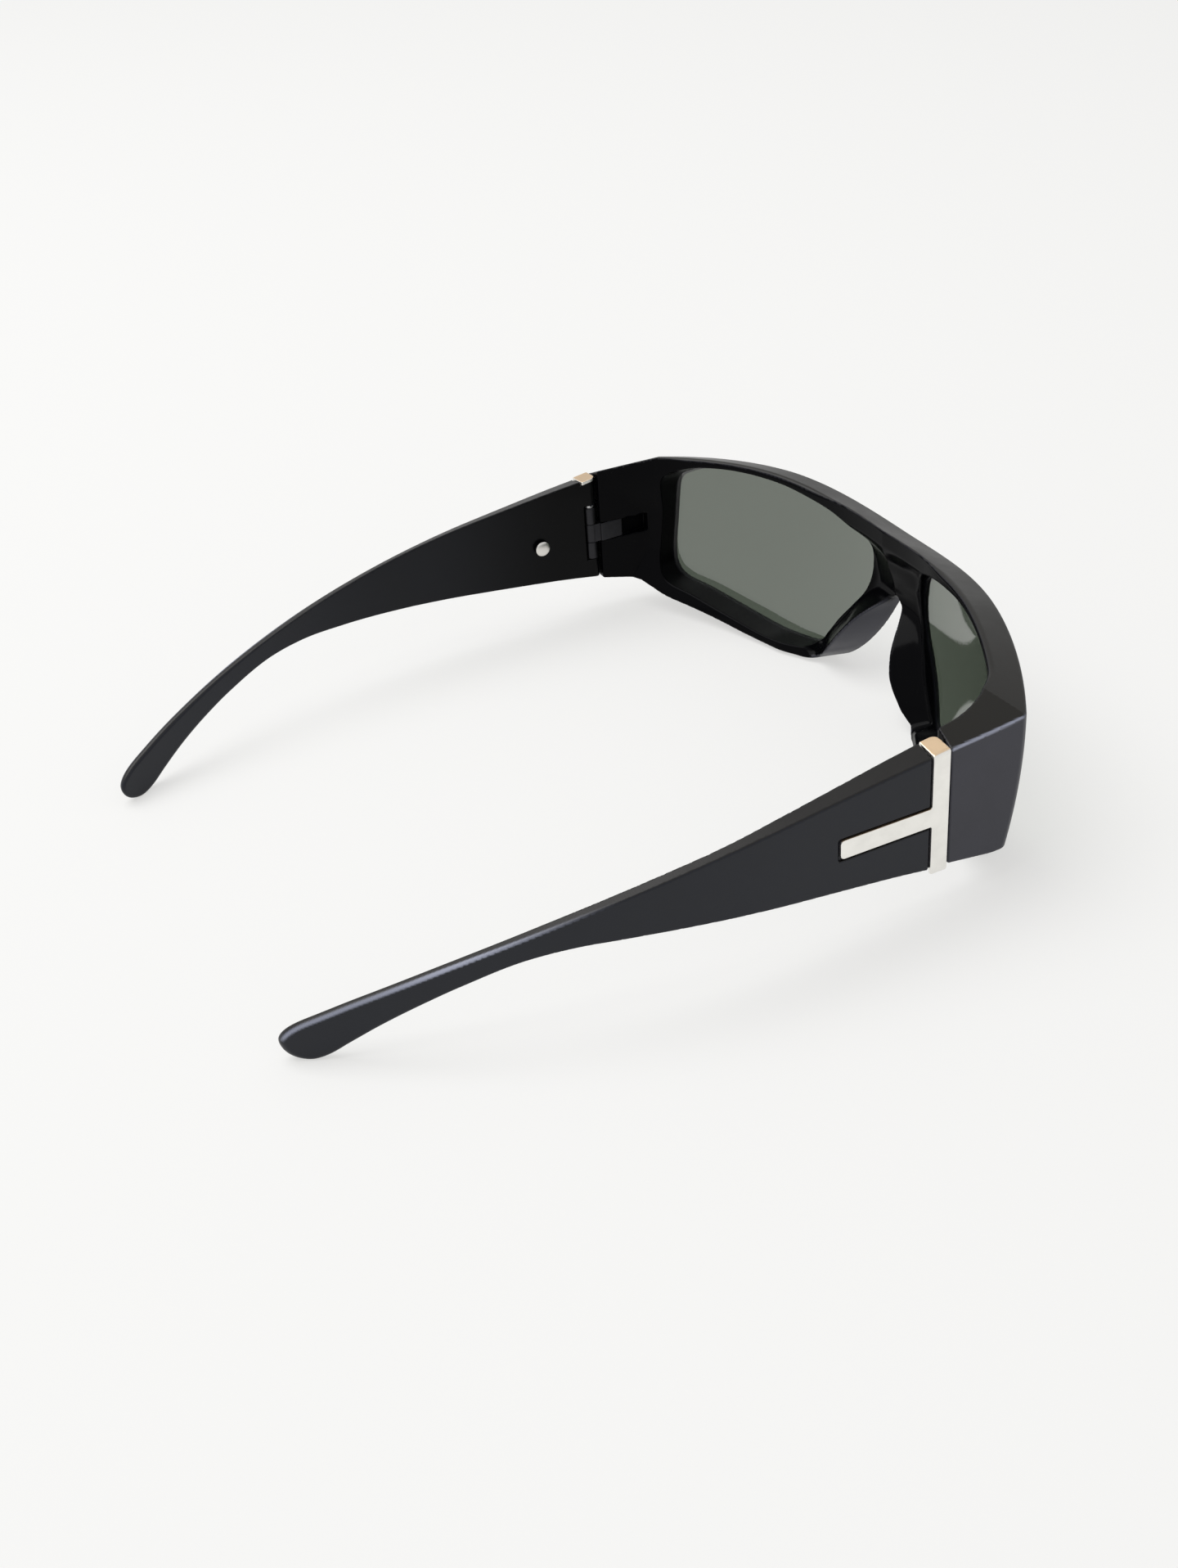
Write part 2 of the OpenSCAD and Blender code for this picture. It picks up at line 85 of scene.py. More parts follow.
HALF_W = FRONT_W / 2
CORNER_X = HALF_W - CORNER_IN
INNER_X = HALF_W - TEMPLE_T
PIN_X, PIN_Y = INNER_X + KNUCKLE_R, KNUCKLE_R + KNUCKLE_GAP
SEAT_X, CAP_TOP = HALF_W + TRIM_RISE - TRIM_T, TEMPLE_TOP + TRIM_RISE + 0.3
BALL_Y = FRONT_R - NOSE_FORWARD
SIDE_LEN = math.sqrt(FRONT_R ** 2 - CORNER_X ** 2) - BALL_Y
print("front ball centre", round(BALL_Y, 2), CURVE_Z, "side panel length", round(SIDE_LEN, 2))

# %% [markdown]
# Outlines. Every edge of the glasses is a smooth line: a few chosen points joined by a spline, as
# a boat builder bends a thin lath round pins. A soft step from 0 to 1 does the rest: it lets a
# radius or a tilt change along a piece without leaving a kink.

# %% Soft steps and smooth lines
def ease(a, b, v):
    """A soft step: 0 up to a, 1 from b on."""
    u = np.clip((v - a) / (b - a), 0, 1)
    return u * u * (3 - 2 * u)


def spline(points, n, closed):
    """A smooth line through the points, with n steps between neighbours."""
    p = np.array(points, float)
    m = len(p)
    out = []
    for i in range(m if closed else m - 1):
        if closed:
            a, b, c, d = p[i - 1], p[i], p[(i + 1) % m], p[(i + 2) % m]
        else:
            a, b, c, d = p[max(i - 1, 0)], p[i], p[i + 1], p[min(i + 2, m - 1)]
        for u in np.arange(n) / n:
            out.append(0.5 * (2 * b + (c - a) * u + (2 * a - 5 * b + 4 * c - d) * u ** 2
                              + (3 * b - a - 3 * c + d) * u ** 3))
    return np.array(out if closed else out + [p[-1]])


print("a soft step, halfway", ease(0, 1, 0.5))

# %% [markdown]
# The lens opening is drawn as it looks square to the lens, the front as it looks from ahead, and
# the temple as it looks from the side. Half of the front is enough: the other half mirrors it. The
# outlines run on past the places where another face will cut them.

# %% The three outlines
# The lens opening: across it from the lens's middle, and up
LENS_SHAPE = [
    (-25.8, 26.6), (-25.2, 22.2), (-23.3, 17.8), (-20.5, 14), (-17.5, 10.1), (-14.7, 6.1),
    (-12.5, 3.2), (-9.4, 2), (0.1, 1.7), (11.2, 3.4), (20.1, 5.4), (25.9, 6.7), (28.7, 8.9),
    (29.8, 13), (29.8, 19.8), (29.5, 26.2), (28.7, 29.9), (25.9, 31.9), (20.9, 33.6),
    (11.2, 35), (0.1, 35.3), (-8, 34.6), (-16.1, 33.4), (-21.9, 31.6), (-25, 29.6)]
lens_line = spline(LENS_SHAPE, 8, True)

# Right half of the nose opening, from its top down to the table
ARCH_SHAPE = [(0, 21), (1.3, 20.2), (2.6, 18), (4.2, 14.9), (6.1, 11.6), (8.5, 8.1), (11.2, 4.8),
              (14.4, 2), (18.5, 0)]
STEPS = 6
both_sides = [(-x, z) for x, z in ARCH_SHAPE[:0:-1]] + ARCH_SHAPE
arch_line = spline(both_sides, STEPS, False)[(len(ARCH_SHAPE) - 1) * STEPS:]

# The lower edge, from the nose opening out to the side
LOW_SHAPE = [(14, .4), (22, 0), (28.3, 0), (35.5, .5), (42, 1.45), (48, 2.45), (54, 3.5),
             (60, 4.7), (66.2, 6.2), (70, 7.2)]
low_line = spline(LOW_SHAPE, STEPS, False)[STEPS:]


def top_line(x):
    """Height of the brow: it rises from the bridge and falls again towards the side panel."""
    rise = BRIDGE_TOP + (BROW_Z - BRIDGE_TOP) * ease(0, BROW_X, x)
    past = np.maximum(x - BROW_X, 0) / (HALF_W - BROW_X)
    return np.where(x < BROW_X, rise, BROW_Z - (BROW_Z - END_TOP) * past ** BROW_POWER)


OUT_X, OUT_Z = HALF_W + 3, 7.4
top_x = np.linspace(OUT_X, 0, 60)
half_line = np.vstack([arch_line, low_line, [(OUT_X, OUT_Z)],
                       np.stack([top_x, top_line(np.minimum(top_x, HALF_W))], 1)])
front_line = np.vstack([half_line, (half_line * [-1, 1])[::-1]])

# The temple: back from the hinge along its top, round the tip and forward along its lower edge
TEMPLE_SHAPE = [
    (-8, 33.4), (0, 32.6), (9, 31.7), (18, 30.6), (36, 28.2), (54, 25.2), (72, 21.5), (90, 16.9),
    (104, 12.3), (112, 9.1), (116.6, 6.9), (118.7, 4.7), (118.6, 2.6), (117.1, .8), (114.5, 0),
    (111.6, .9), (108, 3.2), (103, 6.2), (97, 9.2), (90, 12.1), (81, 14.9), (72, 15.8),
    (63, 15.3), (54, 14.5), (36, 12.6), (18, 10.6), (9, 9.5), (0, 8.1), (-8, 6.6)]
temple_line = spline(TEMPLE_SHAPE, 8, True)
print("outline points", len(front_line), len(lens_line), len(temple_line))

# %% [markdown]
# How to get soft moulded edges everywhere? A mould for injection has no knife edges: each edge has
# its own radius, small on the outer creases and large where the part meets the skin. Here a piece
# is first written as a distance: below zero inside the plastic, above zero outside. Two distances
# meet in a rounded edge of any radius, which bevels on a cut mesh seldom manage.

# %% Distances and how they meet
def round_meet(a, b, r):
    """Where both a and b hold, with their edge rounded to radius r."""
    return np.minimum(np.maximum(a, b), -r) + np.hypot(np.maximum(a + r, 0), np.maximum(b + r, 0))


def blend_join(a, b, r):
    """Where a or b holds, with a fillet of about r between them."""
    h = np.maximum(r - np.abs(a - b), 0) / r
    return np.minimum(a, b) - h * h * r / 4


def block(x, y, z, low, high, r=0.0):
    """A block from low to high, its edges rounded to r."""
    q = [np.abs(v - (a + b) / 2) - (b - a) / 2 + r for v, a, b in zip((x, y, z), low, high)]
    outside = np.sqrt(sum(np.maximum(v, 0) ** 2 for v in q))
    return outside + np.minimum(np.maximum(np.maximum(q[0], q[1]), q[2]), 0) - r


def flat_distance(line, low, high, step):
    """A table of the distance to a closed line, below zero inside it, and its reader."""
    gx, gy = (np.arange(a, b + step, step) for a, b in zip(low, high))
    px, py = np.meshgrid(gx, gy, indexing="ij")
    best = np.full(px.shape, 1e9)
    inside = np.zeros(px.shape, bool)
    for a, b in zip(line, np.roll(line, -1, 0)):
        d = b - a
        length = d @ d
        if length < 1e-12:
            continue
        u = np.clip(((px - a[0]) * d[0] + (py - a[1]) * d[1]) / length, 0, 1)
        best = np.minimum(best, (px - a[0] - u * d[0]) ** 2 + (py - a[1] - u * d[1]) ** 2)
        if a[1] != b[1]:
            crosses = (a[1] > py) != (b[1] > py)
            inside ^= crosses & (px < a[0] + (py - a[1]) / (b[1] - a[1]) * d[0])
    table = np.where(inside, -1, 1) * np.sqrt(best)

    def read(x, y):
        u = np.clip((x - gx[0]) / step, 0, len(gx) - 1.001)
        v = np.clip((y - gy[0]) / step, 0, len(gy) - 1.001)
        i, j = u.astype(int), v.astype(int)
        u, v = u - i, v - j
        return ((table[i, j] * (1 - u) + table[i + 1, j] * u) * (1 - v)
                + (table[i, j + 1] * (1 - u) + table[i + 1, j + 1] * u) * v)
    return read


front_shape = flat_distance(front_line, (-3, -6), (72, 46), 0.2)
lens_shape = flat_distance(lens_line, (-46, -6), (46, 46), 0.2)
temple_shape = flat_distance(temple_line, (-6, -6), (124, 40), 0.2)
middle = float(lens_shape(np.array(0.), np.array(18.)))
print("distance at a lens opening's middle", round(middle, 2))

# %% [markdown]
# The skin is laid over the distance as a net: one point in each small cube that the surface
# crosses, four points to a face. Then each point is moved along the slope until it lies exactly on
# the surface, so flat faces are truly flat and shine evenly.

# %% From a distance to a skin
CORNERS = [(i, j, k) for i in (0, 1) for j in (0, 1) for k in (0, 1)]
EDGES = [(a, b) for a in range(8) for b in range(a + 1, 8)
         if sum(abs(p - q) for p, q in zip(CORNERS[a], CORNERS[b])) == 1]


def slope(distance, p, e=0.02):
    """How fast the distance changes along each axis at the points p."""
    g = np.empty_like(p)
    for k in range(3):
        s = np.zeros(3)
        s[k] = e
        g[:, k] = (distance(*(p + s).T) - distance(*(p - s).T)) / (2 * e)
    return g


def skin(distance, low, high, step):
    """Points, faces and normals of the surface at distance 0, searched for in a box."""
    low, high = np.array(low, float), np.array(high, float)
    n = np.ceil((high - low) / step).astype(int) + 1
    axes = [low[k] + step * np.arange(n[k]) for k in range(3)]
    value = np.empty(n, np.float32)
    for i in range(0, n[0], 24):
        value[i:i + 24] = distance(*np.meshgrid(axes[0][i:i + 24], axes[1], axes[2], indexing="ij"))
    inside = value < 0
    count = sum(inside[i:n[0] - 1 + i, j:n[1] - 1 + j, k:n[2] - 1 + k].astype(np.int8)
                for i, j, k in CORNERS)
    cells = np.argwhere((count > 0) & (count < 8))
    number = np.full(n - 1, -1, np.int64)
    number[tuple(cells.T)] = np.arange(len(cells))
    corner_value = [value[tuple((cells + c).T)] for c in np.array(CORNERS)]
    point, weight = np.zeros((len(cells), 3)), np.zeros(len(cells))
    for a, b in EDGES:
        va, vb = corner_value[a].astype(float), corner_value[b].astype(float)
        hit = (va < 0) != (vb < 0)
        u = np.where(hit, va / np.where(hit, va - vb, 1), 0)[:, None]
        ca, cb = np.array(CORNERS[a], float), np.array(CORNERS[b], float)
        point += hit[:, None] * (ca + u * (cb - ca))
        weight += hit
    point = low + step * (cells + point / weight[:, None])
    faces = []
    for k in range(3):
        u, v = (k + 1) % 3, (k + 2) % 3
        first = [slice(None)] * 3
        second = [slice(None)] * 3
        first[k], second[k] = slice(0, -1), slice(1, None)
        a, b = inside[tuple(first)], inside[tuple(second)]
        e = np.argwhere(a != b)
        e = e[(e[:, u] > 0) & (e[:, v] > 0) & (e[:, u] < n[u] - 1) & (e[:, v] < n[v] - 1)]
        du, dv = np.eye(3, dtype=int)[u], np.eye(3, dtype=int)[v]
        quad = np.stack([number[tuple(q.T)] for q in (e - du - dv, e - dv, e, e - du)], 1)
        solid_first = a[tuple(e.T)]
        faces.append(np.where(solid_first[:, None], quad, quad[:, ::-1]))
    faces = np.vstack(faces)
    for _ in range(4):
        g = slope(distance, point)
        d = distance(*point.T)
        move = (d / np.maximum((g * g).sum(1), 0.2))[:, None] * g
        point -= np.clip(move, -0.5 * step, 0.5 * step)
    g = slope(distance, point)
    return point, faces, g / np.maximum(np.linalg.norm(g, axis=1), 1e-9)[:, None]


print("edges of a small cube", len(EDGES))

# %% [markdown]
# Each skin then becomes a Blender mesh in metres. Its normals come from the distance itself, which
# shades it more evenly than its small faces would. Shares, numbers from 0 to 1 at each point, tell
# a finish where the plastic is polished and painted darker as painted shade, where it faces up and
# gets a warm painted tone, and where an edge gets a painted highlight.

# %% From a skin to a piece
def make_piece(name, points, faces, normals, mirrored=False):
    """A mesh object from points in millimetres; mirrored makes the right-hand twin."""
    p = (np.array(points, float) + [0, HINGE_Y, 0]) * MM
    faces = np.array(faces)
    if mirrored:
        p = p * [-1, 1, 1]
        faces = faces[:, ::-1]
    # A rounded edge may end a few hundredths of a millimetre outside the CAD box
    p = np.clip(p, cad_box[0], cad_box[1])
    mesh = bpy.data.meshes.new(name)
    mesh.from_pydata(p.tolist(), [], faces.tolist())
    mesh.validate()
    mesh.shade_smooth()
    normals = normals * [-1 if mirrored else 1, 1, 1]
    mesh.normals_split_custom_set_from_vertices(normals.tolist())
    piece = bpy.data.objects.new(name, mesh)
    bpy.context.scene.collection.objects.link(piece)
    print(name, len(mesh.vertices), "points", len(mesh.polygons), "faces")
    return piece


def set_share(piece, name, amount):
    """Stores a share from 0 to 1 at each point, which the finish of the piece reads."""
    layer = piece.data.attributes.new(name, "FLOAT", "POINT")
    layer.data.foreach_set("value", np.asarray(amount, np.float32))


# While the look is being worked out, coarser skins save time
front_step, temple_step = ((0.35, 0.3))
print("steps of the skins, mm", front_step, temple_step)


# %% [markdown]
# The front is one moulding: both rims, the bridge, the nose pads and the side panels that wrap
# back to the hinges. Its outer face lies on one large ball. At each corner a flat side panel, which
# leans in a little towards the front, cuts the ball off.

# %% The front's outer skin
EDGE_R = 0.35
CORNER_R = 0.7


def outer_skin(x, y, z):
    ball = np.sqrt(x ** 2 + (y - BALL_Y) ** 2 + (z - CURVE_Z) ** 2) - FRONT_R
    lean = math.atan2(CORNER_IN, SIDE_LEN)
    side = (x - HALF_W) * math.cos(lean) - y * math.sin(lean)
    return round_meet(ball, side, CORNER_R)


print("skin at the middle of the bridge", round(float(outer_skin(0, -NOSE_FORWARD, CURVE_Z)), 3))

# %% [markdown]
# The nose pads belong to the moulding. Each is a wedge: a face towards the nose and a face towards
# the lens meet in a soft ridge. A ball would be simpler, but the real ridge runs down, out and
# forward at once, so a table gives, level by level, the place of the ridge and the place where the
# lens face leaves the rim. Above the nose opening the two nose faces would meet in a sharp groove
# at the middle, so the bridge keeps a wall there.

# %% The nose pads
LEVELS = (0, 1, 2, 4, 6, 8, 10, 12, 14, 16, 18, 20, 22, 24, 26, 28, 30, 32, 34)
RIDGE_X = (21.4, 19.0, 17.2, 14.5, 12.8, 11.2, 9.85, 8.6, 7.4, 6.1, 4.35, 2.4, 1.1, .5,
           0, 0, 0, 0, 0)
RIDGE_Y = (-27.6, -27.2, -27.1, -26.6, -26.4, -26.3, -26.5, -27.3, -28.4, -30.1, -32.4, -34.6,
           -35.3, -34.9, -34.3, -33.6, -33, -32.4, -32.4)
RIM_X = (23, 22.4, 21.8, 20.5, 19.3, 18, 16.5, 15.1, 13.9, 12.6, 11.35, 10.3, 9.5, 9.1, 9.2, 9.6,
         10.8, 14, 20)
RIM_Y = (-31.6, -31.7, -31.9, -32.2, -32.4, -32.8, -33.4, -34.1, -34.7, -35.1, -35.6, -35.9,
         -36.1, -36.1, -35.8, -35.7, -35.5, -35, -34)
BRIDGE_WALL = 2.5
nose_rows = [spline(list(zip(LEVELS, row)), 10, False)
             for row in (RIDGE_X, RIDGE_Y, RIM_X, RIM_Y)]
arch_row = arch_line[::-1]


def nose_pad(x, y, z):
    """Distances to the pad's nose face and lens face, and how far a point is beside the pad."""
    px, py, lx, ly = (np.interp(z, row[:, 0], row[:, 1]) for row in nose_rows)
    ax = np.interp(z, arch_row[:, 1], arch_row[:, 0])
    ay = BALL_Y - np.sqrt(FRONT_R ** 2 - ax ** 2 - (z - CURVE_Z) ** 2)
    dx, dy = px - ax, py - ay
    nose = ((y - ay) * dx - (x - ax) * dy) / np.hypot(dx, dy)
    nose = nose - BRIDGE_WALL * ease(20.3, 22.5, z)
    dx, dy = px - lx, py - ly
    lens = ((x - lx) * dy - (y - ly) * dx) / np.hypot(dx, dy)
    return nose, lens, x - px - (lx - px) * ease(0.8, 3.5, z)


print("points along the ridge of a pad", len(nose_rows[0]))

# %% [markdown]
# The side panels are flat walls inside, with a bevel where they reach the rims. At their rear end
# sits the hinge: its root fills a pocket, and a shallow recess in front of the root lets the core
# of the mould slide out.

# %% The side panels and the hinge pockets
def side_panel(x, y):
    lean = CORNER_IN / SIDE_LEN
    bevel_y = BEVEL_LEN - SIDE_LEN
    inner_face = (HALF_W - SIDE_T + lean * y - x) / math.hypot(1, lean)
    bevel = (HALF_W - SIDE_T + lean * bevel_y - x) * (BEVEL_LEN / 2) + (y - bevel_y) * BEVEL_W
    panel = np.minimum(inner_face, bevel / math.hypot(BEVEL_LEN / 2, BEVEL_W))
    panel = round_meet(panel, HALF_W - SIDE_T - BEVEL_W - 2 - x, 0.3)
    return round_meet(panel, y, 0.25)


def hinge_pocket(x, y, z):
    low, high = TONGUE_Z - TONGUE_H / 2, TONGUE_Z + TONGUE_H / 2
    pocket = block(x, y, z, (INNER_X - 2, -ROOT_LEN, low), (INNER_X + 2 * KNUCKLE_R, 1, high))
    # The recess's floor slopes, deeper towards the front
    floor_x = INNER_X - .3 + RECESS_DEPTH - .1 * (y + 8)
    recess = block(x, y, z, (INNER_X - 3, -ROOT_LEN - RECESS_LEN, low),
                   (floor_x, -ROOT_LEN, high), 0.15)
    return np.minimum(pocket, recess)


print("wall of the side panel, mm", SIDE_T)

# %% [markdown]
# Now everything meets in one distance. The rims' rear face is a smaller ball about the same
# centre, and the lower rims reach further back. Top and lower faces aren't level: they rise
# towards the rear, most of all at the brow, and the walls of the lens opening rise with them. The
# brow's rear edge is the roundest, because it touches the forehead. Soft steps run over heights
# above the table or distances from the middle, in millimetres.

# %% The front as one distance
UNDER_X, UNDER_Z, BROW_LOW = 61.0, 4.95, 33
PAD_BLEND, PAD_RIDGE_R, RIM_END_R, FOREHEAD_R = 3, 0.9, 1.5, 0.9
SIDE_FILLET, BROW_FILLET = 0.6, 8
# Rise for each millimetre towards the rear: at the lower edge, more at the middle of the brow, at
# the foot of the lens opening, and more at its top
LOW_RISE, MIDDLE_EXTRA, OPENING_RISE, OPENING_EXTRA = 0.1, 0.12, 0.12, 0.18


def front_distance(x, y, z):
    x = np.abs(x)
    outer = outer_skin(x, y, z)
    deep = np.clip(-outer, -1, 9)
    reach = np.sqrt(x ** 2 + (y - BALL_Y) ** 2 + (z - CURVE_Z) ** 2)
    depth = RIM_DEPTH + LOW_EXTRA * (1 - ease(3, 15, z)) * ease(17, 27, x)
    # The fillet between rim and side panel grows towards the brow
    fillet = SIDE_FILLET + BROW_FILLET * ease(20, BROW_LOW, z)
    body = blend_join(FRONT_R - depth - reach, side_panel(x, y), fillet)
    nose, lens, past = nose_pad(x, y, z)
    beside = blend_join(-past, BROW_LOW - z, 4)
    pad = round_meet(nose, lens, PAD_RIDGE_R)
    body = blend_join(round_meet(body, beside, RIM_END_R), pad, PAD_BLEND)
    high = ease(14, 28, z)
    rise = (TOP_SLOPE + MIDDLE_EXTRA * (1 - ease(8, 24, x))) * high + LOW_RISE * (1 - high)
    face = front_shape(x, z - rise * np.maximum(deep, 0))
    brow = ease(27, BROW_LOW, z) * (1 - ease(54, UNDER_X, x)) * ease(14, 24, x)
    solid = round_meet(round_meet(outer, face, EDGE_R), body, EDGE_R + FOREHEAD_R * brow)
    # The side panel's lower edge rises towards the hinge
    underside = UNDER_Z + (END_BOTTOM - UNDER_Z) * (y + SIDE_LEN) / SIDE_LEN - z
    solid = round_meet(solid, underside - 0.3 * np.maximum(UNDER_X - x, 0), 0.4)
    turn = math.radians(LENS_TURN)
    across = x * math.cos(turn) + (y - BALL_Y) * math.sin(turn)
    rise = OPENING_RISE + OPENING_EXTRA * ease(8, 28, z)
    opening = lens_shape(across, z - rise * (deep - 1.5))
    solid = round_meet(solid, -opening, 0.3)
    return round_meet(solid, -hinge_pocket(x, y, z), 0.12)


parts = skin(front_distance, (-68.6, -39.4, -0.6), (68.6, 0.8, 40.2), front_step)
front = make_piece("front_moulding", *parts)
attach(front, "front")
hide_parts("front_frame")

# %% [markdown]
# Behind, the moulding is polished for the skin, and there its colour is painted darker as painted
# shade. In front, above and on the nose faces of the pads it keeps the mould's satin grain. Upward
# faces of the brow get a warm painted tone for the light above, and the crease over each side panel
# gets a painted highlight.

# %% Shares of the front's finish
side, depth_y, height = np.abs(parts[0][:, 0]), parts[0][:, 1], parts[0][:, 2]
gap = outer_skin(side, depth_y, height)
nose_face, _, beside_pad = nose_pad(side, depth_y, height)
to_nose = -np.sign(parts[0][:, 0]) * parts[2][:, 0]
# Upward faces of the brow, which the finish gives a warm tone as painted light
top = ease(0.45, 0.75, parts[2][:, 2]) * ease(27, 30, height)
pad = (ease(-0.9, -0.3, nose_face) * ease(0, 0.25, to_nose) * (beside_pad < 0)
       * (1 - ease(18, 21, height)))
# A painted highlight: a bluish-white line along the crease over each side panel
crest = front_shape(side, height) + TOP_SLOPE * np.clip(gap, -1, 0)
crest = np.abs(crest) + np.abs(gap) * 1.5
edge = (1 - ease(0.2, 0.5, crest)) * ease(20, 26, height) * ease(-17.5, -15.5, depth_y)
# The polish share also darkens the colour here as painted shade, besides making it glossier
set_share(front, "polish_and_painted_light", ease(0.9, 2.4, -gap) * (1 - top) * (1 - pad))
set_share(front, "top", top)
set_share(front, "edge", edge)
print("share of the front that is polished", round(float(np.mean(ease(0.9, 2.4, -gap))), 2))

# %% [markdown]
# A temple is a flat arm that bends inwards behind the ear. Its plan is a straight run and an arc,
# its side view a tapering outline with a waist. At the free end every edge gets rounder, as the
# mould maker leaves it where it touches the skin. The front end is rounded round the hinge pin,
# so the places of knuckles and trim are worked out first.

# %% Heights and lengths at the hinge
BAR_END = END_GAP + BAR_W
ARM_END = BAR_END + ARM_LEN
UPPER_LO = TONGUE_Z + TONGUE_H / 2 + HINGE_PLAY
UPPER_HI = UPPER_LO + KNUCKLE_H
LOWER_HI = TONGUE_Z - TONGUE_H / 2 - HINGE_PLAY
LOWER_LO = LOWER_HI - KNUCKLE_H
SLOT_BACK = PIN_Y + KNUCKLE_R + HINGE_ROOM


CAP_FALL, CAP_RISE = 0.13, 0.12


def cap_level(x, y):
    """Height of the trim's folded top: it falls to the rear and rises towards the head."""
    return CAP_TOP - CAP_FALL * (y - END_GAP) + CAP_RISE * (HALF_W - x)


print("knuckles from", round(LOWER_LO, 2), "to", round(UPPER_HI, 2), "mm")

# %% [markdown]
# The arm itself is an outline, an outer face and an inner face that meet. From it come off the
# seat of the trim, the room for the knuckles and their leaf, and the rivet's bore. The top face
# rises inwards at first and levels out towards the tip, which a short table says.

# %% The temple as one distance
CREASE_RISE = [(0, .25), (36, .27), (54, .22), (72, .11), (90, 0), (119, -.05)]
# Cosine of the inner face's slight lean
LEAN_COS = 0.998


def trim_seat(x, y, z):
    g = TRIM_GAP
    seat = block(x, y, z, (SEAT_X, -1, BAR_BOTTOM - g), (HALF_W + 1, BAR_END + g, 40))
    arm = block(x, y, z, (SEAT_X, 0, ARM_Z - ARM_H / 2 - g),
                (HALF_W + 1, ARM_END + g, ARM_Z + ARM_H / 2 + g), 0.3)
    cap = np.maximum(y - BAR_END - g, cap_level(x, y) - CAP_T - z)
    return np.minimum(np.minimum(seat, arm), cap)


def hinge_room(x, y, z):
    low, high = LOWER_LO - HINGE_ROOM, UPPER_HI + HEAD_H + HINGE_ROOM
    level = np.abs(z - (low + high) / 2) - (high - low) / 2
    knuckle = np.maximum(np.hypot(x - PIN_X, y - PIN_Y) - KNUCKLE_R - HINGE_ROOM, level)
    mouth = block(x, y, z, (INNER_X - 1, -1, low),
                  (INNER_X + 2 * KNUCKLE_R + HINGE_ROOM, PIN_Y, high))
    throat = block(x, y, z, (INNER_X - 1, PIN_Y - 1, low), (PIN_X, SLOT_BACK, high))
    return np.minimum(np.minimum(knuckle, mouth), throat)


def temple_outside(x, y):
    return np.hypot(x - HALF_W + BEND_R, np.maximum(y - STRAIGHT, 0)) - BEND_R


def temple_distance(x, y, z):
    outer = temple_outside(x, y)
    flat = (INNER_X + (TEMPLE_T - WAIST_T) * y / STRAIGHT - x) * LEAN_COS
    inner = blend_join(flat, -TIP_T - outer, 1.2)
    face = temple_shape(y, z - np.interp(y, *zip(*CREASE_RISE)) * np.clip(-outer, 0, 5))
    tip = ease(70, 108, y)
    solid = round_meet(outer, face, EDGE_R + 0.5 * tip)
    end = round_meet(END_GAP - y, inner, KNUCKLE_R - 0.05)
    solid = round_meet(solid, np.where(y < 3, end, inner), 0.3 + 0.55 * tip)
    solid = round_meet(solid, -trim_seat(x, y, z), 0.1)
    solid = round_meet(solid, -hinge_room(x, y, z), 0.15)
    return np.maximum(solid, RIVET_R - np.hypot(y - RIVET_Y, z - ARM_Z))


parts = skin(temple_distance, (44, -0.2, -0.5), (68.6, TEMPLE_LEN + 0.5, 34.6), temple_step)
temples = [make_piece("left_temple_arm", *parts), make_piece("right_temple_arm", *parts, True)]
for piece, side in zip(temples, ("left", "right")):
    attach(piece, side + "_arm")
    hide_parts(side + "_temple")

# %% [markdown]
# Inside, the temples are polished like the front and painted darker as painted shade, less and less
# towards the tip. Upward faces get a warm painted tone, and the crease along the rear half a
# painted highlight.

# %% Shares of the temples' finish
along, normal = parts[0][:, 1], parts[2]
# Inner faces, made glossier and painted darker as painted shade, less towards the tip
inside = ease(0.3, 0.8, -normal[:, 0])
inside = inside * (1 - 0.5 * ease(8, 45, along) - 0.5 * ease(45, 95, along))
crest = np.abs(temple_outside(parts[0][:, 0], along)) + np.abs(temple_shape(along, parts[0][:, 2]))
# A painted highlight: a light line along the top crease of the rear half
painted_highlight = (1 - ease(0.35, 0.75, crest)) * ease(62, 96, along) * ease(0.1, 0.4, normal[:, 2])
for piece in temples:
    set_share(piece, "polish_and_painted_light", inside)
    # Upward faces get a warm tone as painted light
    set_share(piece, "top", ease(0.5, 0.85, normal[:, 2]))
    set_share(piece, "edge", painted_highlight)
print("points on the rubbed crease", int(np.sum(painted_highlight > 0.5)))

# %% [markdown]
# Each hinge is a barrel hinge with three knuckles: one tongue on the front between two knuckles on
# the temple. The leaves are cast metal, so their edges are slightly rounded too. The pin runs in
# a bore with a little room.

# %% The hinge leaves
BORE_R = SCREW_R + .05


def barrel(x, y, z, low, high):
    radial = np.hypot(x - PIN_X, y - PIN_Y)
    ring = round_meet(radial - KNUCKLE_R, np.abs(z - (low + high) / 2) - (high - low) / 2, 0.14)
    return round_meet(ring, BORE_R - radial, 0.08)


def front_leaf_distance(x, y, z):
    low, high = TONGUE_Z - TONGUE_H / 2, TONGUE_Z + TONGUE_H / 2
    root = block(x, y, z, (INNER_X - ROOT_RISE, -ROOT_LEN, low),
                 (INNER_X + 2 * KNUCKLE_R, 0, high), 0.15)
    neck = block(x, y, z, (PIN_X - KNUCKLE_R, -1, low), (PIN_X + KNUCKLE_R, PIN_Y, high), 0.1)
    neck = np.maximum(neck, BORE_R - np.hypot(x - PIN_X, y - PIN_Y))
    return blend_join(np.minimum(root, neck), barrel(x, y, z, low, high), 0.1)


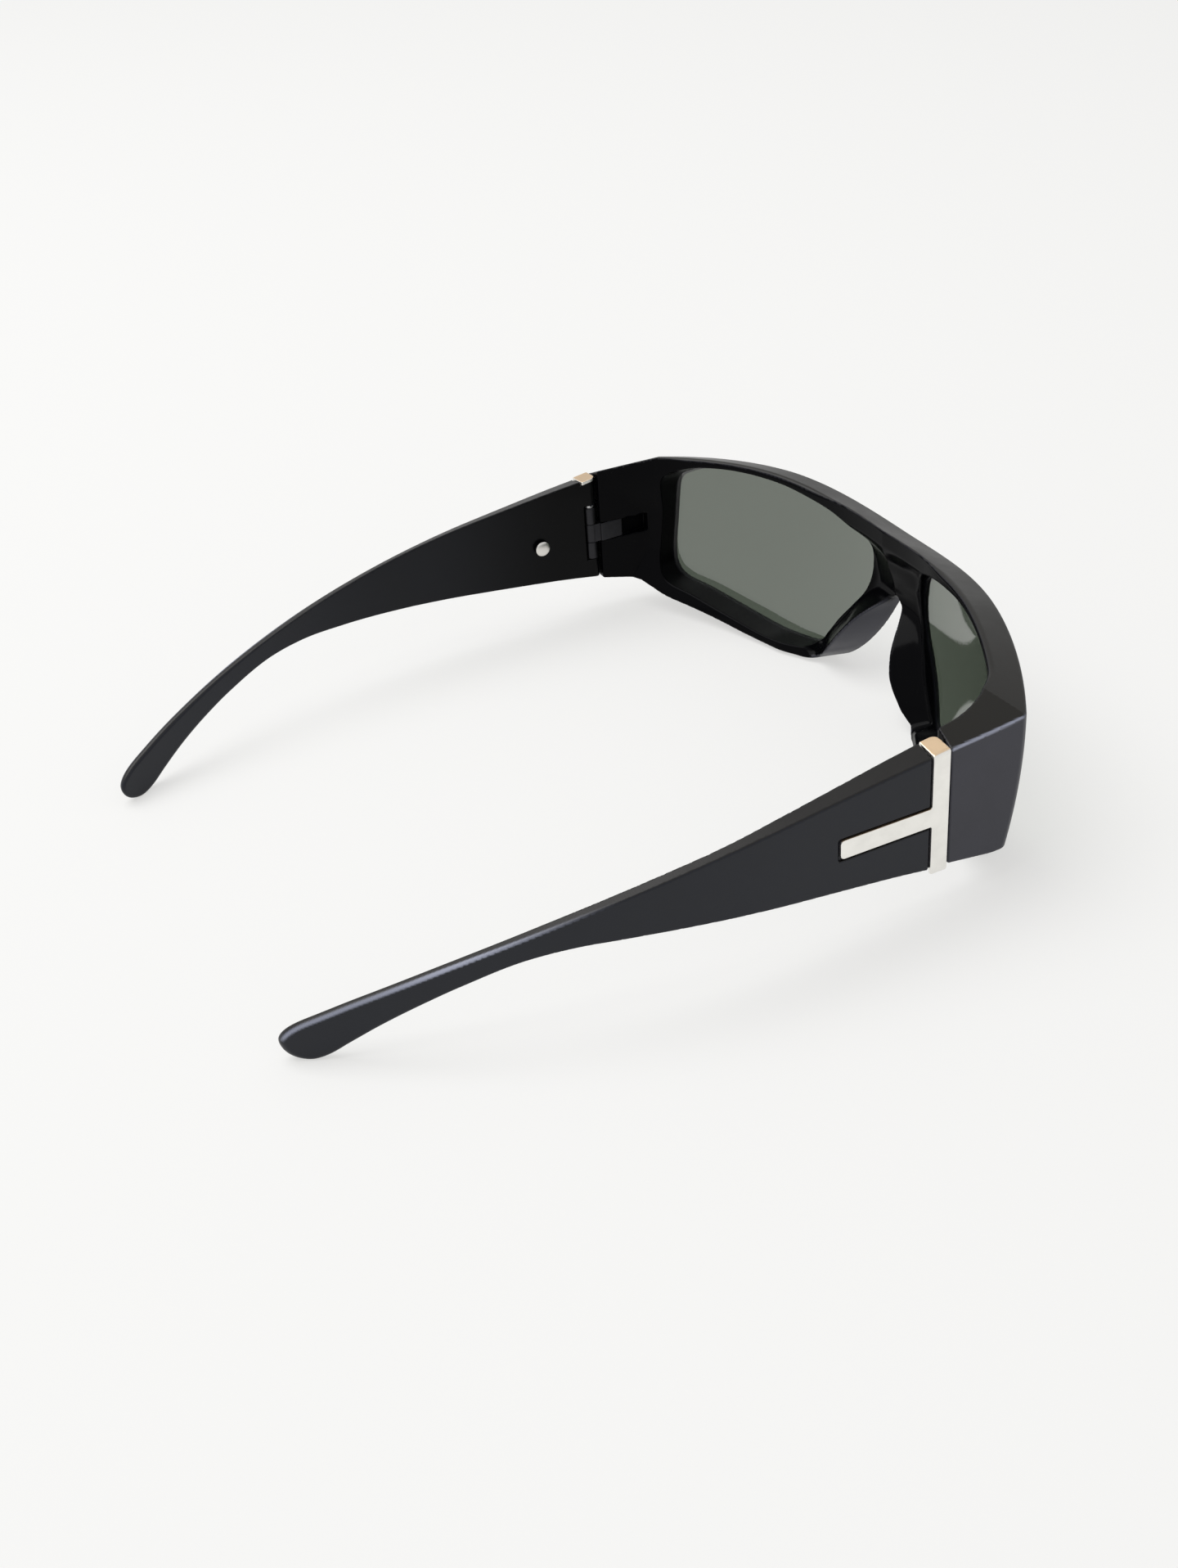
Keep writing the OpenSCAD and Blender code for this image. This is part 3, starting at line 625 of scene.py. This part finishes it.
def temple_leaf_distance(x, y, z):
    near, far = PIN_X - PLATE_T / 2, PIN_X + PLATE_T / 2
    low = block(x, y, z, (near, PIN_Y, LOWER_LO), (far, SLOT_BACK, LOWER_HI), 0.1)
    high = block(x, y, z, (near, PIN_Y, UPPER_LO), (far, SLOT_BACK, UPPER_HI), 0.1)
    necks = np.maximum(np.minimum(low, high), BORE_R - np.hypot(x - PIN_X, y - PIN_Y))
    plate = block(x, y, z, (near, SLOT_BACK - .2, LOWER_LO),
                  (far, SLOT_BACK + PLATE_LEN, UPPER_HI), 0.15)
    rings = np.minimum(barrel(x, y, z, LOWER_LO, LOWER_HI), barrel(x, y, z, UPPER_LO, UPPER_HI))
    return np.minimum(np.minimum(necks, plate), rings)


leaves = []
parts = skin(front_leaf_distance, (62.7, -5.6, TONGUE_Z - 2.5), (67.4, 3.8, TONGUE_Z + 2.5), 0.13)
other = skin(temple_leaf_distance, (63.3, -0.1, LOWER_LO - .4), (67.4, 10, UPPER_HI + .4), 0.15)
for side, flip in (("left", False), ("right", True)):
    for name, body, shape in (("front_leaf", "front", parts),
                              ("temple_leaf", side + "_arm", other)):
        leaf = make_piece(side + "_hinge_" + name, *shape, flip)
        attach(leaf, body)
        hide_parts(side + "_" + name)
        leaves.append(leaf)

# %% [markdown]
# The trim is a T cut from sheet metal and bent: its bar runs down the temple's end, its top folds
# over the temple, and its arm points back. Cut sheet has a soft edge from the tumbling drum. The
# arm is drawn like a block, but flat: how far a point lies outside its rounded corners.

# %% The T-shaped trims
def trim_distance(x, y, z):
    edge, bend = 0.16, 0.5
    face_x = SEAT_X + TRIM_T
    sheet = np.abs(x - SEAT_X - TRIM_T / 2) - TRIM_T / 2
    width = np.abs(y - END_GAP - BAR_W / 2) - BAR_W / 2
    bar = round_meet(width, BAR_BOTTOM - z, 0.35)
    qy = np.abs(y - ARM_END / 2) - ARM_END / 2 + ARM_CORNER
    qz = np.abs(z - ARM_Z) - ARM_H / 2 + ARM_CORNER
    arm = np.hypot(np.maximum(qy, 0), np.maximum(qz, 0)) - ARM_CORNER
    arm = arm + np.minimum(np.maximum(qy, qz), 0)
    tee = blend_join(bar, np.maximum(arm, END_GAP + .5 - y), 0.5)
    top = cap_level(x, y)
    upright = round_meet(round_meet(tee, sheet, edge), z - top, bend)
    fold = round_meet(np.maximum(z - top, top - CAP_T - z), width, edge)
    corner = round_meet(END_GAP - y, INNER_X - x, KNUCKLE_R - 0.05)
    fold = round_meet(round_meet(fold, x - face_x, bend), corner, edge)
    return blend_join(upright, fold, 0.25)


parts = skin(trim_distance, (63.2, 0, 7.4), (68.6, 23.3, 35), 0.15)
trims = [make_piece("left_tee_trim", *parts), make_piece("right_tee_trim", *parts, True)]
for piece, side in zip(trims, ("left", "right")):
    # Upward faces of the trim get a warm colour as a painted reflection
    set_share(piece, "polish_and_painted_light", ease(0.6, 0.9, parts[2][:, 2]))
    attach(piece, side + "_arm")
    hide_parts(side + "_plaque")

# %% [markdown]
# Node trees, for shapes and for finishes, are written the same way: a Wire is what flows out of a
# node, and arithmetic on wires adds Math nodes, so a formula reads as a formula. Every other node
# comes from one method, which takes its kind, its settings and the values of its sockets.

# %% Wires and trees
class Wire:
    def __init__(self, tree, socket):
        self.tree, self.socket = tree, socket

    def other(self, out):
        """Another output of the same node."""
        return Wire(self.tree, self.socket.node.outputs[out])

    def _math(self, kind, a, b):
        return self.tree.add(self.tree.math_kind, {"operation": kind}, {0: a, 1: b})

    def __add__(self, other):
        return self._math("ADD", self, other)

    def __sub__(self, other):
        return self._math("SUBTRACT", self, other)

    def __rsub__(self, other):
        return self._math("SUBTRACT", other, self)

    def __mul__(self, other):
        return self._math("MULTIPLY", self, other)

    def __truediv__(self, other):
        return self._math("DIVIDE", self, other)

    def __rtruediv__(self, other):
        return self._math("DIVIDE", other, self)

    def __pow__(self, other):
        return self._math("POWER", self, other)

    __radd__, __rmul__ = __add__, __mul__


class Tree:
    math_kind = "ShaderNodeMath"

    def __init__(self, nodes_of):
        self.tree = nodes_of

    def add(self, kind, settings=None, sockets=None, out=0):
        """A node of that kind; returns the wire of its output."""
        node = self.tree.nodes.new(kind)
        for key, value in (settings or {}).items():
            setattr(node, key, value)
        for key, value in (sockets or {}).items():
            if isinstance(value, Wire):
                self.tree.links.new(value.socket, node.inputs[key])
            else:
                node.inputs[key].default_value = value
        return Wire(self, node.outputs[out])


class ShapeTree(Tree):
    """A Geometry Nodes tree with named inputs."""

    def __init__(self, name, inputs):
        super().__init__(bpy.data.node_groups.new(name, "GeometryNodeTree"))
        face = self.tree.interface
        face.new_socket("Shape", in_out="INPUT", socket_type="NodeSocketGeometry")
        face.new_socket("Shape", in_out="OUTPUT", socket_type="NodeSocketGeometry")
        for label, kind in inputs.items():
            face.new_socket(label, in_out="INPUT", socket_type="NodeSocket" + kind)
        self.start = self.tree.nodes.new("NodeGroupInput")

    def given(self, label):
        return Wire(self, self.start.outputs[label])

    def finish(self, shape):
        shape = self.add("GeometryNodeRealizeInstances", None, {0: shape})
        shape = self.add("GeometryNodeSetMaterial", None,
                         {"Geometry": shape, "Material": self.given("Finish")})
        end = self.tree.nodes.new("NodeGroupOutput")
        self.tree.links.new(shape.socket, end.inputs[0])

    def grow(self, name, points, closed, values, place, mirrored=False):
        """Runs the tree on a line of points and keeps its result as a plain mesh, in metres."""
        n = len(points)
        line = bpy.data.meshes.new(name + "_line")
        edges = [(i, (i + 1) % n) for i in range(n if closed else n - 1)]
        line.from_pydata([tuple(map(float, p)) for p in points], edges, [])
        maker = bpy.data.objects.new(name + "_maker", line)
        bpy.context.scene.collection.objects.link(maker)
        modifier = maker.modifiers.new("tree", "NODES")
        modifier.node_group = self.tree
        for item in self.tree.interface.items_tree:
            if item.in_out == "INPUT" and item.name in values:
                modifier[item.identifier] = values[item.name]
        depsgraph = bpy.context.evaluated_depsgraph_get()
        mesh = bpy.data.meshes.new_from_object(maker.evaluated_get(depsgraph))
        maker.modifiers.remove(modifier)
        bpy.data.objects.remove(maker)
        mesh.name = name
        place = Matrix.Translation((0, HINGE_Y, 0)) @ place
        mesh.transform(Matrix.Diagonal((MM, MM, MM, 1)) @ place)
        if mirrored:
            mesh.transform(Matrix.Diagonal((-1, 1, 1, 1)))
            mesh.flip_normals()
        piece = bpy.data.objects.new(name, mesh)
        bpy.context.scene.collection.objects.link(piece)
        print(name, len(mesh.vertices), "points", len(mesh.polygons), "faces")
        return piece


print("kinds of tree", [kind.__name__ for kind in (Tree, ShapeTree)])

# %% [markdown]
# Finishes. The front and temples are black nylon from a spark-eroded mould: satin, with a fine
# grain, and a little greasy where fingers hold them. Grain is bump, grease changes the roughness.
# Polished faces get a low index, so they mirror little of the sky, and their colour is painted
# nearly black as painted shade. Upward faces get a warm painted tone for the light above them, and
# the edge share a painted highlight.

# %% Moulded plastic
class Finish(Tree):
    def __init__(self, name):
        self.material = bpy.data.materials.new(name)
        self.material.use_nodes = True
        super().__init__(self.material.node_tree)
        self.tree.nodes.clear()
        self.place = self.add("ShaderNodeTexCoord", None, None, "Object")

    def noise(self, size_mm, detail=2.0, rough=0.5, stretch=(1, 1, 1)):
        spot = self.add("ShaderNodeMapping", None, {"Vector": self.place, "Scale": stretch})
        return self.add("ShaderNodeTexNoise", None, {"Vector": spot, "Scale": 1 / (size_mm * MM),
                                                     "Detail": detail, "Roughness": rough})

    def ramp(self, wire, low, high):
        return self.add("ShaderNodeMapRange", None, {0: wire, 1: low, 2: high, 3: 0.0, 4: 1.0})

    def share(self, name):
        """One of the shares stored at the points of a piece, 0 where it has none."""
        return self.add("ShaderNodeAttribute", {"attribute_name": name}, None, "Fac")

    def mix(self, share, a, b):
        a, b = ((*v, 1) if isinstance(v, tuple) else v for v in (a, b))
        return self.add("ShaderNodeMix", {"data_type": "RGBA"}, {0: share, 6: a, 7: b}, 2)

    def close(self, **sockets):
        names = {key.replace("_", " "): value for key, value in sockets.items()}
        shader = self.add("ShaderNodeBsdfPrincipled", None, names)
        self.end(shader)
        return self.material

    def end(self, shader):
        out = self.tree.nodes.new("ShaderNodeOutputMaterial")
        self.tree.links.new(shader.socket, out.inputs["Surface"])

    def bump(self, height, depth_mm):
        return self.add("ShaderNodeBump", None, {"Height": height, "Distance": depth_mm * MM})


# The second colour is the bluish white of the painted crease highlight
OUTSIDE_IOR, CREASE_HIGHLIGHT = 1.38, (0.38, 0.4, 0.5)


def moulded_black(name, base, painted_top_tone, roughness, gloss, inner_ior):
    finish = Finish(name)
    grain = finish.noise(0.35, 3.0, 0.6)
    haze = finish.ramp(finish.noise(11, 3.0, 0.55), 0.35, 0.7)
    wear = finish.ramp(finish.noise(3.2, 4.0, 0.6), 0.45, 0.75)
    polish_and_painted_light, edge, top = (finish.share(name) for name in ("polish_and_painted_light", "edge", "top"))
    # Painted shade: the polished faces behind and inside are darkened to a twentieth of the base
    # colour
    pale, painted_shade = tuple(v * 1.35 for v in base), tuple(v * 0.05 for v in base)
    # Painted light: upward faces take the warm top tone, standing in for the reflection of the
    # light above
    colour = finish.mix(top, finish.mix(haze * 0.6, base, pale), painted_top_tone)
    # Painted highlight: the edge share lightens creases to a bluish white
    colour = finish.mix(edge, finish.mix(polish_and_painted_light, colour, painted_shade), CREASE_HIGHLIGHT)
    rough = (roughness + 0.06 * haze - 0.04 * wear) * (1 - gloss * polish_and_painted_light)
    bump = finish.bump(grain * (1 - 0.9 * polish_and_painted_light), 0.012)
    outside, inside = (finish.add("ShaderNodeBsdfPrincipled", None, {
        "Base Color": colour, "Roughness": rough, "Normal": bump, "IOR": ior})
        for ior in (OUTSIDE_IOR, inner_ior))
    finish.end(finish.add("ShaderNodeMixShader", None, {0: polish_and_painted_light, 1: outside, 2: inside}))
    return finish.material


black_front = moulded_black("satin black nylon, front", (0.03, 0.03, 0.041),
                            (0.004, 0.003, 0.001), roughness=0.36, gloss=0.55, inner_ior=1.13)
black_temple = moulded_black("satin black nylon, temples", (0.005, 0.0065, 0.0115),
                             (0.0025, 0.0015, 0.0008), roughness=0.36, gloss=0.2, inner_ior=1.2)


def paint(piece, material):
    piece.data.materials.clear()
    piece.data.materials.append(material)


paint(front, black_front)
for piece in temples:
    paint(piece, black_temple)
print("moulded plastic on", front.name, [piece.name for piece in temples])

# %% [markdown]
# The trims are stamped steel with a satin silver plating: fine brushing along the sheet, seen as
# a stretched grain in roughness and bump. Rivets and screws are too small to show much direction.
# On the trim's upward faces, its polished share, a warm colour is mixed in as a painted reflection.

# %% Metals
# A warm colour painted on the trim's upward faces as a reflection
PAINTED_WARM_REFLECTION = (0.67, 0.5, 0.325)


def metal(name, colour, rough, stretch, grain_mm, depth):
    finish = Finish(name)
    lines = finish.noise(grain_mm, 4.0, 0.65, stretch)
    patch = finish.ramp(finish.noise(2.4, 2.0), 0.35, 0.7)
    shade = finish.mix(patch * 0.5, colour, tuple(v * 0.9 for v in colour))
    shade = finish.mix(finish.share("polish_and_painted_light"), shade, PAINTED_WARM_REFLECTION)
    return finish.close(Base_Color=shade, Metallic=1.0, Normal=finish.bump(lines, depth),
                        Roughness=rough + 0.16 * (lines - 0.5) + 0.05 * patch)


silver = metal("satin silver plate", (0.93, 0.915, 0.87), 0.34, (1, 0.12, 1), 0.16, 0.004)
rivet_metal = metal("turned silver", (0.76, 0.74, 0.7), 0.3, (1, 1, 1), 0.22, 0.006)
screw_metal = metal("turned steel", (0.6, 0.6, 0.6), 0.32, (1, 1, 0.2), 0.2, 0.006)
hinge_metal = metal("blackened hinge metal", (0.035, 0.035, 0.038), 0.38, (1, 1, 1), 0.3, 0.01)
for piece in trims:
    paint(piece, silver)
for leaf in leaves:
    paint(leaf, hinge_metal)
print("metals", [m.name for m in (silver, rivet_metal, screw_metal, hinge_metal)])

# %% [markdown]
# The lens is a grey-green shell, 1.6 mm thick. Light that makes a shadow passes it straight, only
# tinted: a bent ray would never find a lamp, and the shadow would be black.

# %% Lens tint
def lens_tint():
    finish = Finish("grey-green lens")
    tint = (0.09, 0.109, 0.084)
    smear = finish.ramp(finish.noise(9, 4.0, 0.6), 0.4, 0.75)
    glass = finish.add("ShaderNodeBsdfPrincipled", None, {
        "Base Color": finish.mix(smear * 0.4, tint, tuple(v * 0.96 for v in tint)),
        "Roughness": 0.02 + 0.035 * smear, "IOR": 1.95, "Transmission Weight": 1.0})
    clear = finish.add("ShaderNodeBsdfTransparent", None, {"Color": (0.5, 0.53, 0.49, 1)})
    shadow = finish.add("ShaderNodeLightPath", None, None, "Is Shadow Ray")
    finish.end(finish.add("ShaderNodeMixShader", None, {0: shadow, 1: glass, 2: clear}))
    return finish.material


tinted = lens_tint()
print("the lens's finish", tinted.name)

# %% [markdown]
# A lens follows a rule, so Geometry Nodes make it: a grid is wrapped over the opening's outline,
# once in front and once behind, and each point is dropped on the ball it belongs to. Where the
# grid's ends meet, and at the two middles, doubled points are merged, so the shell is closed.

# %% The lenses
def lens_tree():
    tree = ShapeTree("lens from a ball", {"Middle": "Vector", "Ball centre": "Vector",
                                          "Front radius": "Float", "Thickness": "Float",
                                          "Rings": "Int", "Spokes": "Int", "Finish": "Material"})
    curve = tree.add("GeometryNodeMeshToCurve", None, {0: tree.given("Shape")})
    grid = tree.add("GeometryNodeMeshGrid", None, {"Size X": 2.0, "Size Y": 1.0,
                    "Vertices X": tree.given("Rings"), "Vertices Y": tree.given("Spokes")})
    spot = tree.add("GeometryNodeInputPosition")
    split = tree.add("ShaderNodeSeparateXYZ", None, {0: spot})
    across, around = split, split.other(1) + 0.5
    share = tree.add("ShaderNodeMath", {"operation": "ABSOLUTE"}, {0: across})
    gap = 1.0 / (tree.given("Rings") - 1.0)
    share = (1.0 - share) / (1.0 - gap)
    behind = tree.add("FunctionNodeCompare", {"operation": "GREATER_THAN"}, {0: across, 1: 0.0})
    rim = tree.add("GeometryNodeSampleCurve", {"mode": "FACTOR", "use_all_curves": True},
                   {"Curves": curve, "Factor": around}, "Position")
    flat = tree.add("ShaderNodeMix", {"data_type": "VECTOR", "clamp_factor": False},
                    {0: share, 4: tree.given("Middle"), 5: rim}, 1)
    away = tree.add("ShaderNodeVectorMath", {"operation": "SUBTRACT"},
                    {0: flat, 1: tree.given("Ball centre")})
    apart = tree.add("ShaderNodeSeparateXYZ", None, {0: away})
    ax, az = apart, apart.other(2)
    radius = tree.given("Front radius") - tree.given("Thickness") * behind
    centre = tree.add("ShaderNodeSeparateXYZ", None, {0: tree.given("Ball centre")})
    depth = (radius * radius - ax * ax - az * az) ** 0.5
    placed = tree.add("ShaderNodeSeparateXYZ", None, {0: flat})
    point = tree.add("ShaderNodeCombineXYZ", None,
                     {0: placed, 1: centre.other(1) - depth, 2: placed.other(2)})
    shell = tree.add("GeometryNodeSetPosition", None, {"Geometry": grid, "Position": point})
    shell = tree.add("GeometryNodeMergeByDistance", None, {"Geometry": shell, "Distance": 0.004})
    angle = tree.add("GeometryNodeInputMeshEdgeAngle")
    sharp = tree.add("FunctionNodeCompare", {"operation": "GREATER_THAN"}, {0: angle, 1: 0.7})
    shell = tree.add("GeometryNodeSetShadeSmooth", {"domain": "EDGE"},
                     {0: shell, 1: sharp, 2: False})
    tree.finish(shell)
    return tree


def grown(line, d):
    """The line moved outwards by d, for the lens's edge in its groove."""
    t = np.roll(line, -1, 0) - np.roll(line, 1, 0)
    t /= np.linalg.norm(t, axis=1)[:, None]
    return line + d * np.stack([t[:, 1], -t[:, 0]], 1)


edge = grown(lens_line, GROOVE - LENS_FIT)
turned = Matrix.Rotation(math.radians(LENS_TURN), 4, "Z")
lens_maker = lens_tree()
for side, flip in (("left", False), ("right", True)):
    lens = lens_maker.grow(side + "_tinted_lens", [(x, 0, z) for x, z in edge], True, {
        "Middle": (2.0, 0.0, 19.0), "Ball centre": (0, 0, CURVE_Z),
        "Front radius": FRONT_R - LENS_INSET, "Thickness": LENS_T, "Rings": 64, "Spokes": 241,
        "Finish": tinted}, Matrix.Translation((0, BALL_Y, 0)) @ turned, flip)
    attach(lens, "front")
    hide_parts(side + "_lens")
    points, faces = lens.data.vertices, lens.data.polygons
    volume = sum(points[f.vertices[0]].co.dot(f.normal) * f.area for f in faces) / 3 / MM ** 3
    print(side, "lens volume, mm3", round(volume))

# %% [markdown]
# Screws and rivets are turned on a lathe, and the tree does the same: a profile line is swept once
# round its axis. The screw's slot is then cut by a thin block. A rivet has no slot, so its block
# is tiny and waits far above it.

# %% Screws and rivets
def lathe_tree():
    tree = ShapeTree("turned on a lathe", {"Profile points": "Int", "Steps round": "Int",
                                           "Slot size": "Vector", "Slot place": "Vector",
                                           "Finish": "Material"})
    grid = tree.add("GeometryNodeMeshGrid", None, {"Size X": 2.0, "Size Y": 1.0,
                    "Vertices X": tree.given("Profile points"),
                    "Vertices Y": tree.given("Steps round")})
    spot = tree.add("GeometryNodeInputPosition")
    split = tree.add("ShaderNodeSeparateXYZ", None, {0: spot})
    row = (split + 1.0) * (tree.given("Profile points") - 1.0) / 2.0 + 0.01
    line = tree.add("GeometryNodeSampleIndex", {"data_type": "FLOAT_VECTOR", "domain": "POINT"},
                    {"Geometry": tree.given("Shape"), "Value": spot,
                     "Index": tree.add("ShaderNodeMath", {"operation": "FLOOR"}, {0: row})})
    profile = tree.add("ShaderNodeSeparateXYZ", None, {0: line})
    turn = (split.other(1) + 0.5) * math.tau
    sine = tree.add("ShaderNodeMath", {"operation": "SINE"}, {0: turn})
    cosine = tree.add("ShaderNodeMath", {"operation": "COSINE"}, {0: turn})
    point = tree.add("ShaderNodeCombineXYZ", None,
                     {0: profile * cosine, 1: profile * sine, 2: profile.other(2)})
    solid = tree.add("GeometryNodeSetPosition", None, {"Geometry": grid, "Position": point})
    solid = tree.add("GeometryNodeMergeByDistance", None, {"Geometry": solid, "Distance": 0.002})
    cutter = tree.add("GeometryNodeMeshCube", None, {"Size": tree.given("Slot size")})
    cutter = tree.add("GeometryNodeTransform", None,
                      {"Geometry": cutter, "Translation": tree.given("Slot place")})
    solid = tree.add("GeometryNodeMeshBoolean", {"operation": "DIFFERENCE"},
                     {"Mesh 1": solid, "Mesh 2": cutter})
    angle = tree.add("GeometryNodeInputMeshEdgeAngle")
    sharp = tree.add("FunctionNodeCompare", {"operation": "GREATER_THAN"}, {0: angle, 1: 0.6})
    solid = tree.add("GeometryNodeSetShadeSmooth", {"domain": "EDGE"},
                     {0: solid, 1: sharp, 2: False})
    tree.finish(solid)
    return tree


lathe = lathe_tree()


def rounded_head(radius, high, r):
    turn = [math.pi / 2 * i / 5 for i in range(6)]
    return [(radius - r + r * math.cos(a), 0, high - r + r * math.sin(a)) for a in turn]


HEAD_TOP = UPPER_HI + HEAD_H
screw_line = [(0, 0, LOWER_LO), (SCREW_R - .1, 0, LOWER_LO), (SCREW_R, 0, LOWER_LO + .1),
              (SCREW_R, 0, UPPER_HI), (HEAD_R, 0, UPPER_HI)]
screw_line += rounded_head(HEAD_R, HEAD_TOP, 0.22) + [(0, 0, HEAD_TOP)]
dome = [(RIVET_HEAD_R * math.cos(a), 0, -RIVET_HEAD_H * math.sin(a))
        for a in (math.pi / 2 * i / 8 for i in range(9))]
rivet_line = [(0, 0, SEAT_X - INNER_X), (RIVET_R, 0, SEAT_X - INNER_X), (RIVET_R, 0, 0),
              (RIVET_HEAD_R, 0, 0)] + dome[1:]
for side, flip in (("left", False), ("right", True)):
    screw = lathe.grow(side + "_screw", screw_line, False, {
        "Profile points": len(screw_line), "Steps round": 49,
        "Slot size": (4, SCREW_SLOT, HEAD_H), "Slot place": (0, 0, HEAD_TOP),
        "Finish": screw_metal}, Matrix.Translation((PIN_X, PIN_Y, 0)), flip)
    rivet = lathe.grow(side + "_trim_rivet", rivet_line, False, {
        "Profile points": len(rivet_line), "Steps round": 49,
        "Slot size": (0.01, 0.01, 0.01), "Slot place": (0, 0, 99), "Finish": rivet_metal},
        Matrix.Translation((INNER_X, RIVET_Y, ARM_Z)) @ Matrix.Rotation(math.pi / 2, 4, "Y"), flip)
    for piece, node, finish_slot in ((screw, "_hinge_screw", "screw_steel"),
                                     (rivet, "_rivet", "rivet_silver")):
        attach(piece, side + "_arm")
        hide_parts(side + node)
        reach = [[v.co[k] / MM for v in piece.data.vertices] for k in range(3)]
        print(piece.name, "size, mm", [round(max(v) - min(v), 2) for v in reach])

# %% [markdown]
# The floor is a pale sheet, and the background is as pale. A soft lamp hangs behind the tips and
# to the left, so that the faint shadows fall towards the front. The world gives the rest of the
# light from all round. Rays that show it to the camera, also in a reflection or through a lens,
# find it brighter than rays that only light a surface: the shadows keep their depth that way.

# %% Floor and light
FLOOR_GLOW, WORLD_LIGHT, WORLD_SEEN = 0.64, 0.5, 0.32


def seen(tree):
    """1 for rays that show something to the camera, straight, mirrored or through a lens."""
    straight, mirrored, through = (tree.add("ShaderNodeLightPath", None, None, f"Is {kind} Ray")
                                   for kind in ("Camera", "Glossy", "Transmission"))
    return straight + mirrored + through


def pale_floor():
    finish = Finish("pale studio paper")
    fibre = finish.noise(1.5, 3.0, 0.5)
    colour = finish.mix(fibre * 0.3, (0.93, 0.93, 0.92), (0.9, 0.9, 0.895))
    matte = finish.add("ShaderNodeBsdfDiffuse", None, {"Color": colour})
    glow = finish.add("ShaderNodeEmission", None, {"Color": (0.905, 0.9, 0.885, 1)})
    finish.end(finish.add("ShaderNodeMixShader", None,
                          {0: seen(finish) * FLOOR_GLOW, 1: matte, 2: glow}))
    return finish.material


floor_mesh = bpy.data.meshes.new("floor")
floor_mesh.from_pydata([(-3, -3, 0), (3, -3, 0), (3, 3, 0), (-3, 3, 0)], [], [(0, 1, 2, 3)])
floor = bpy.data.objects.new("floor", floor_mesh)
bpy.context.scene.collection.objects.link(floor)
paint(floor, pale_floor())

world = bpy.data.worlds.new("studio")
world.use_nodes = True
sky = Tree(world.node_tree)
strength = WORLD_LIGHT + WORLD_SEEN * seen(sky)
backdrop = world.node_tree.nodes["Background"]
backdrop.inputs["Color"].default_value = (0.985, 0.99, 1.0, 1)
world.node_tree.links.new(strength.socket, backdrop.inputs["Strength"])
bpy.context.scene.world = world


def soft_lamp(name, place, aim, size, watts):
    data = bpy.data.lights.new(name, "AREA")
    data.shape, data.size, data.size_y, data.energy = "RECTANGLE", size[0], size[1], watts
    lamp = bpy.data.objects.new(name, data)
    lamp.location = place
    lamp.rotation_euler = (Vector(aim) - Vector(place)).to_track_quat("-Z", "Y").to_euler()
    bpy.context.scene.collection.objects.link(lamp)
    return lamp


soft_lamp("main soft lamp", (0.35, 0.45, 1.2), (0, 0, 0), (1.3, 1.1), 14.0)

# %% [markdown]
# The camera stands where the photographer stood: behind the right temple and above. The place was
# found by fitting known points of the CAD to the picture. The focal length is 2550 pixels of a
# picture 1916 pixels high, told as millimetres on a sensor 36 mm high.

# %% Camera
azimuth, elevation, roll = math.radians(244.7733), math.radians(32.9617), math.radians(-4.0122)
target, distance = Vector((-9.7548, 41.7448 + HINGE_Y, 8.2512)) * MM, 400.0 * MM
back = Vector((math.sin(azimuth) * math.cos(elevation), -math.cos(azimuth) * math.cos(elevation),
               math.sin(elevation)))
right = Vector((math.cos(azimuth), math.sin(azimuth), 0))
up = back.cross(right)
right, up = (right * math.cos(roll) + up * math.sin(roll),
             up * math.cos(roll) - right * math.sin(roll))
camera_data = bpy.data.cameras.new("camera")
camera_data.sensor_width, camera_data.sensor_fit = 36, "AUTO"
camera_data.lens = 2550 / 1916 * 36
camera_data.clip_start = 0.01
camera = bpy.data.objects.new("camera", camera_data)
camera.matrix_world = (Matrix.Translation(target + back * distance)
                       @ Matrix((right, up, back)).transposed().to_4x4())
bpy.context.scene.collection.objects.link(camera)
bpy.context.scene.camera = camera
bpy.context.scene.view_settings.view_transform = "Standard"
print("camera at", [round(v, 4) for v in camera.location])
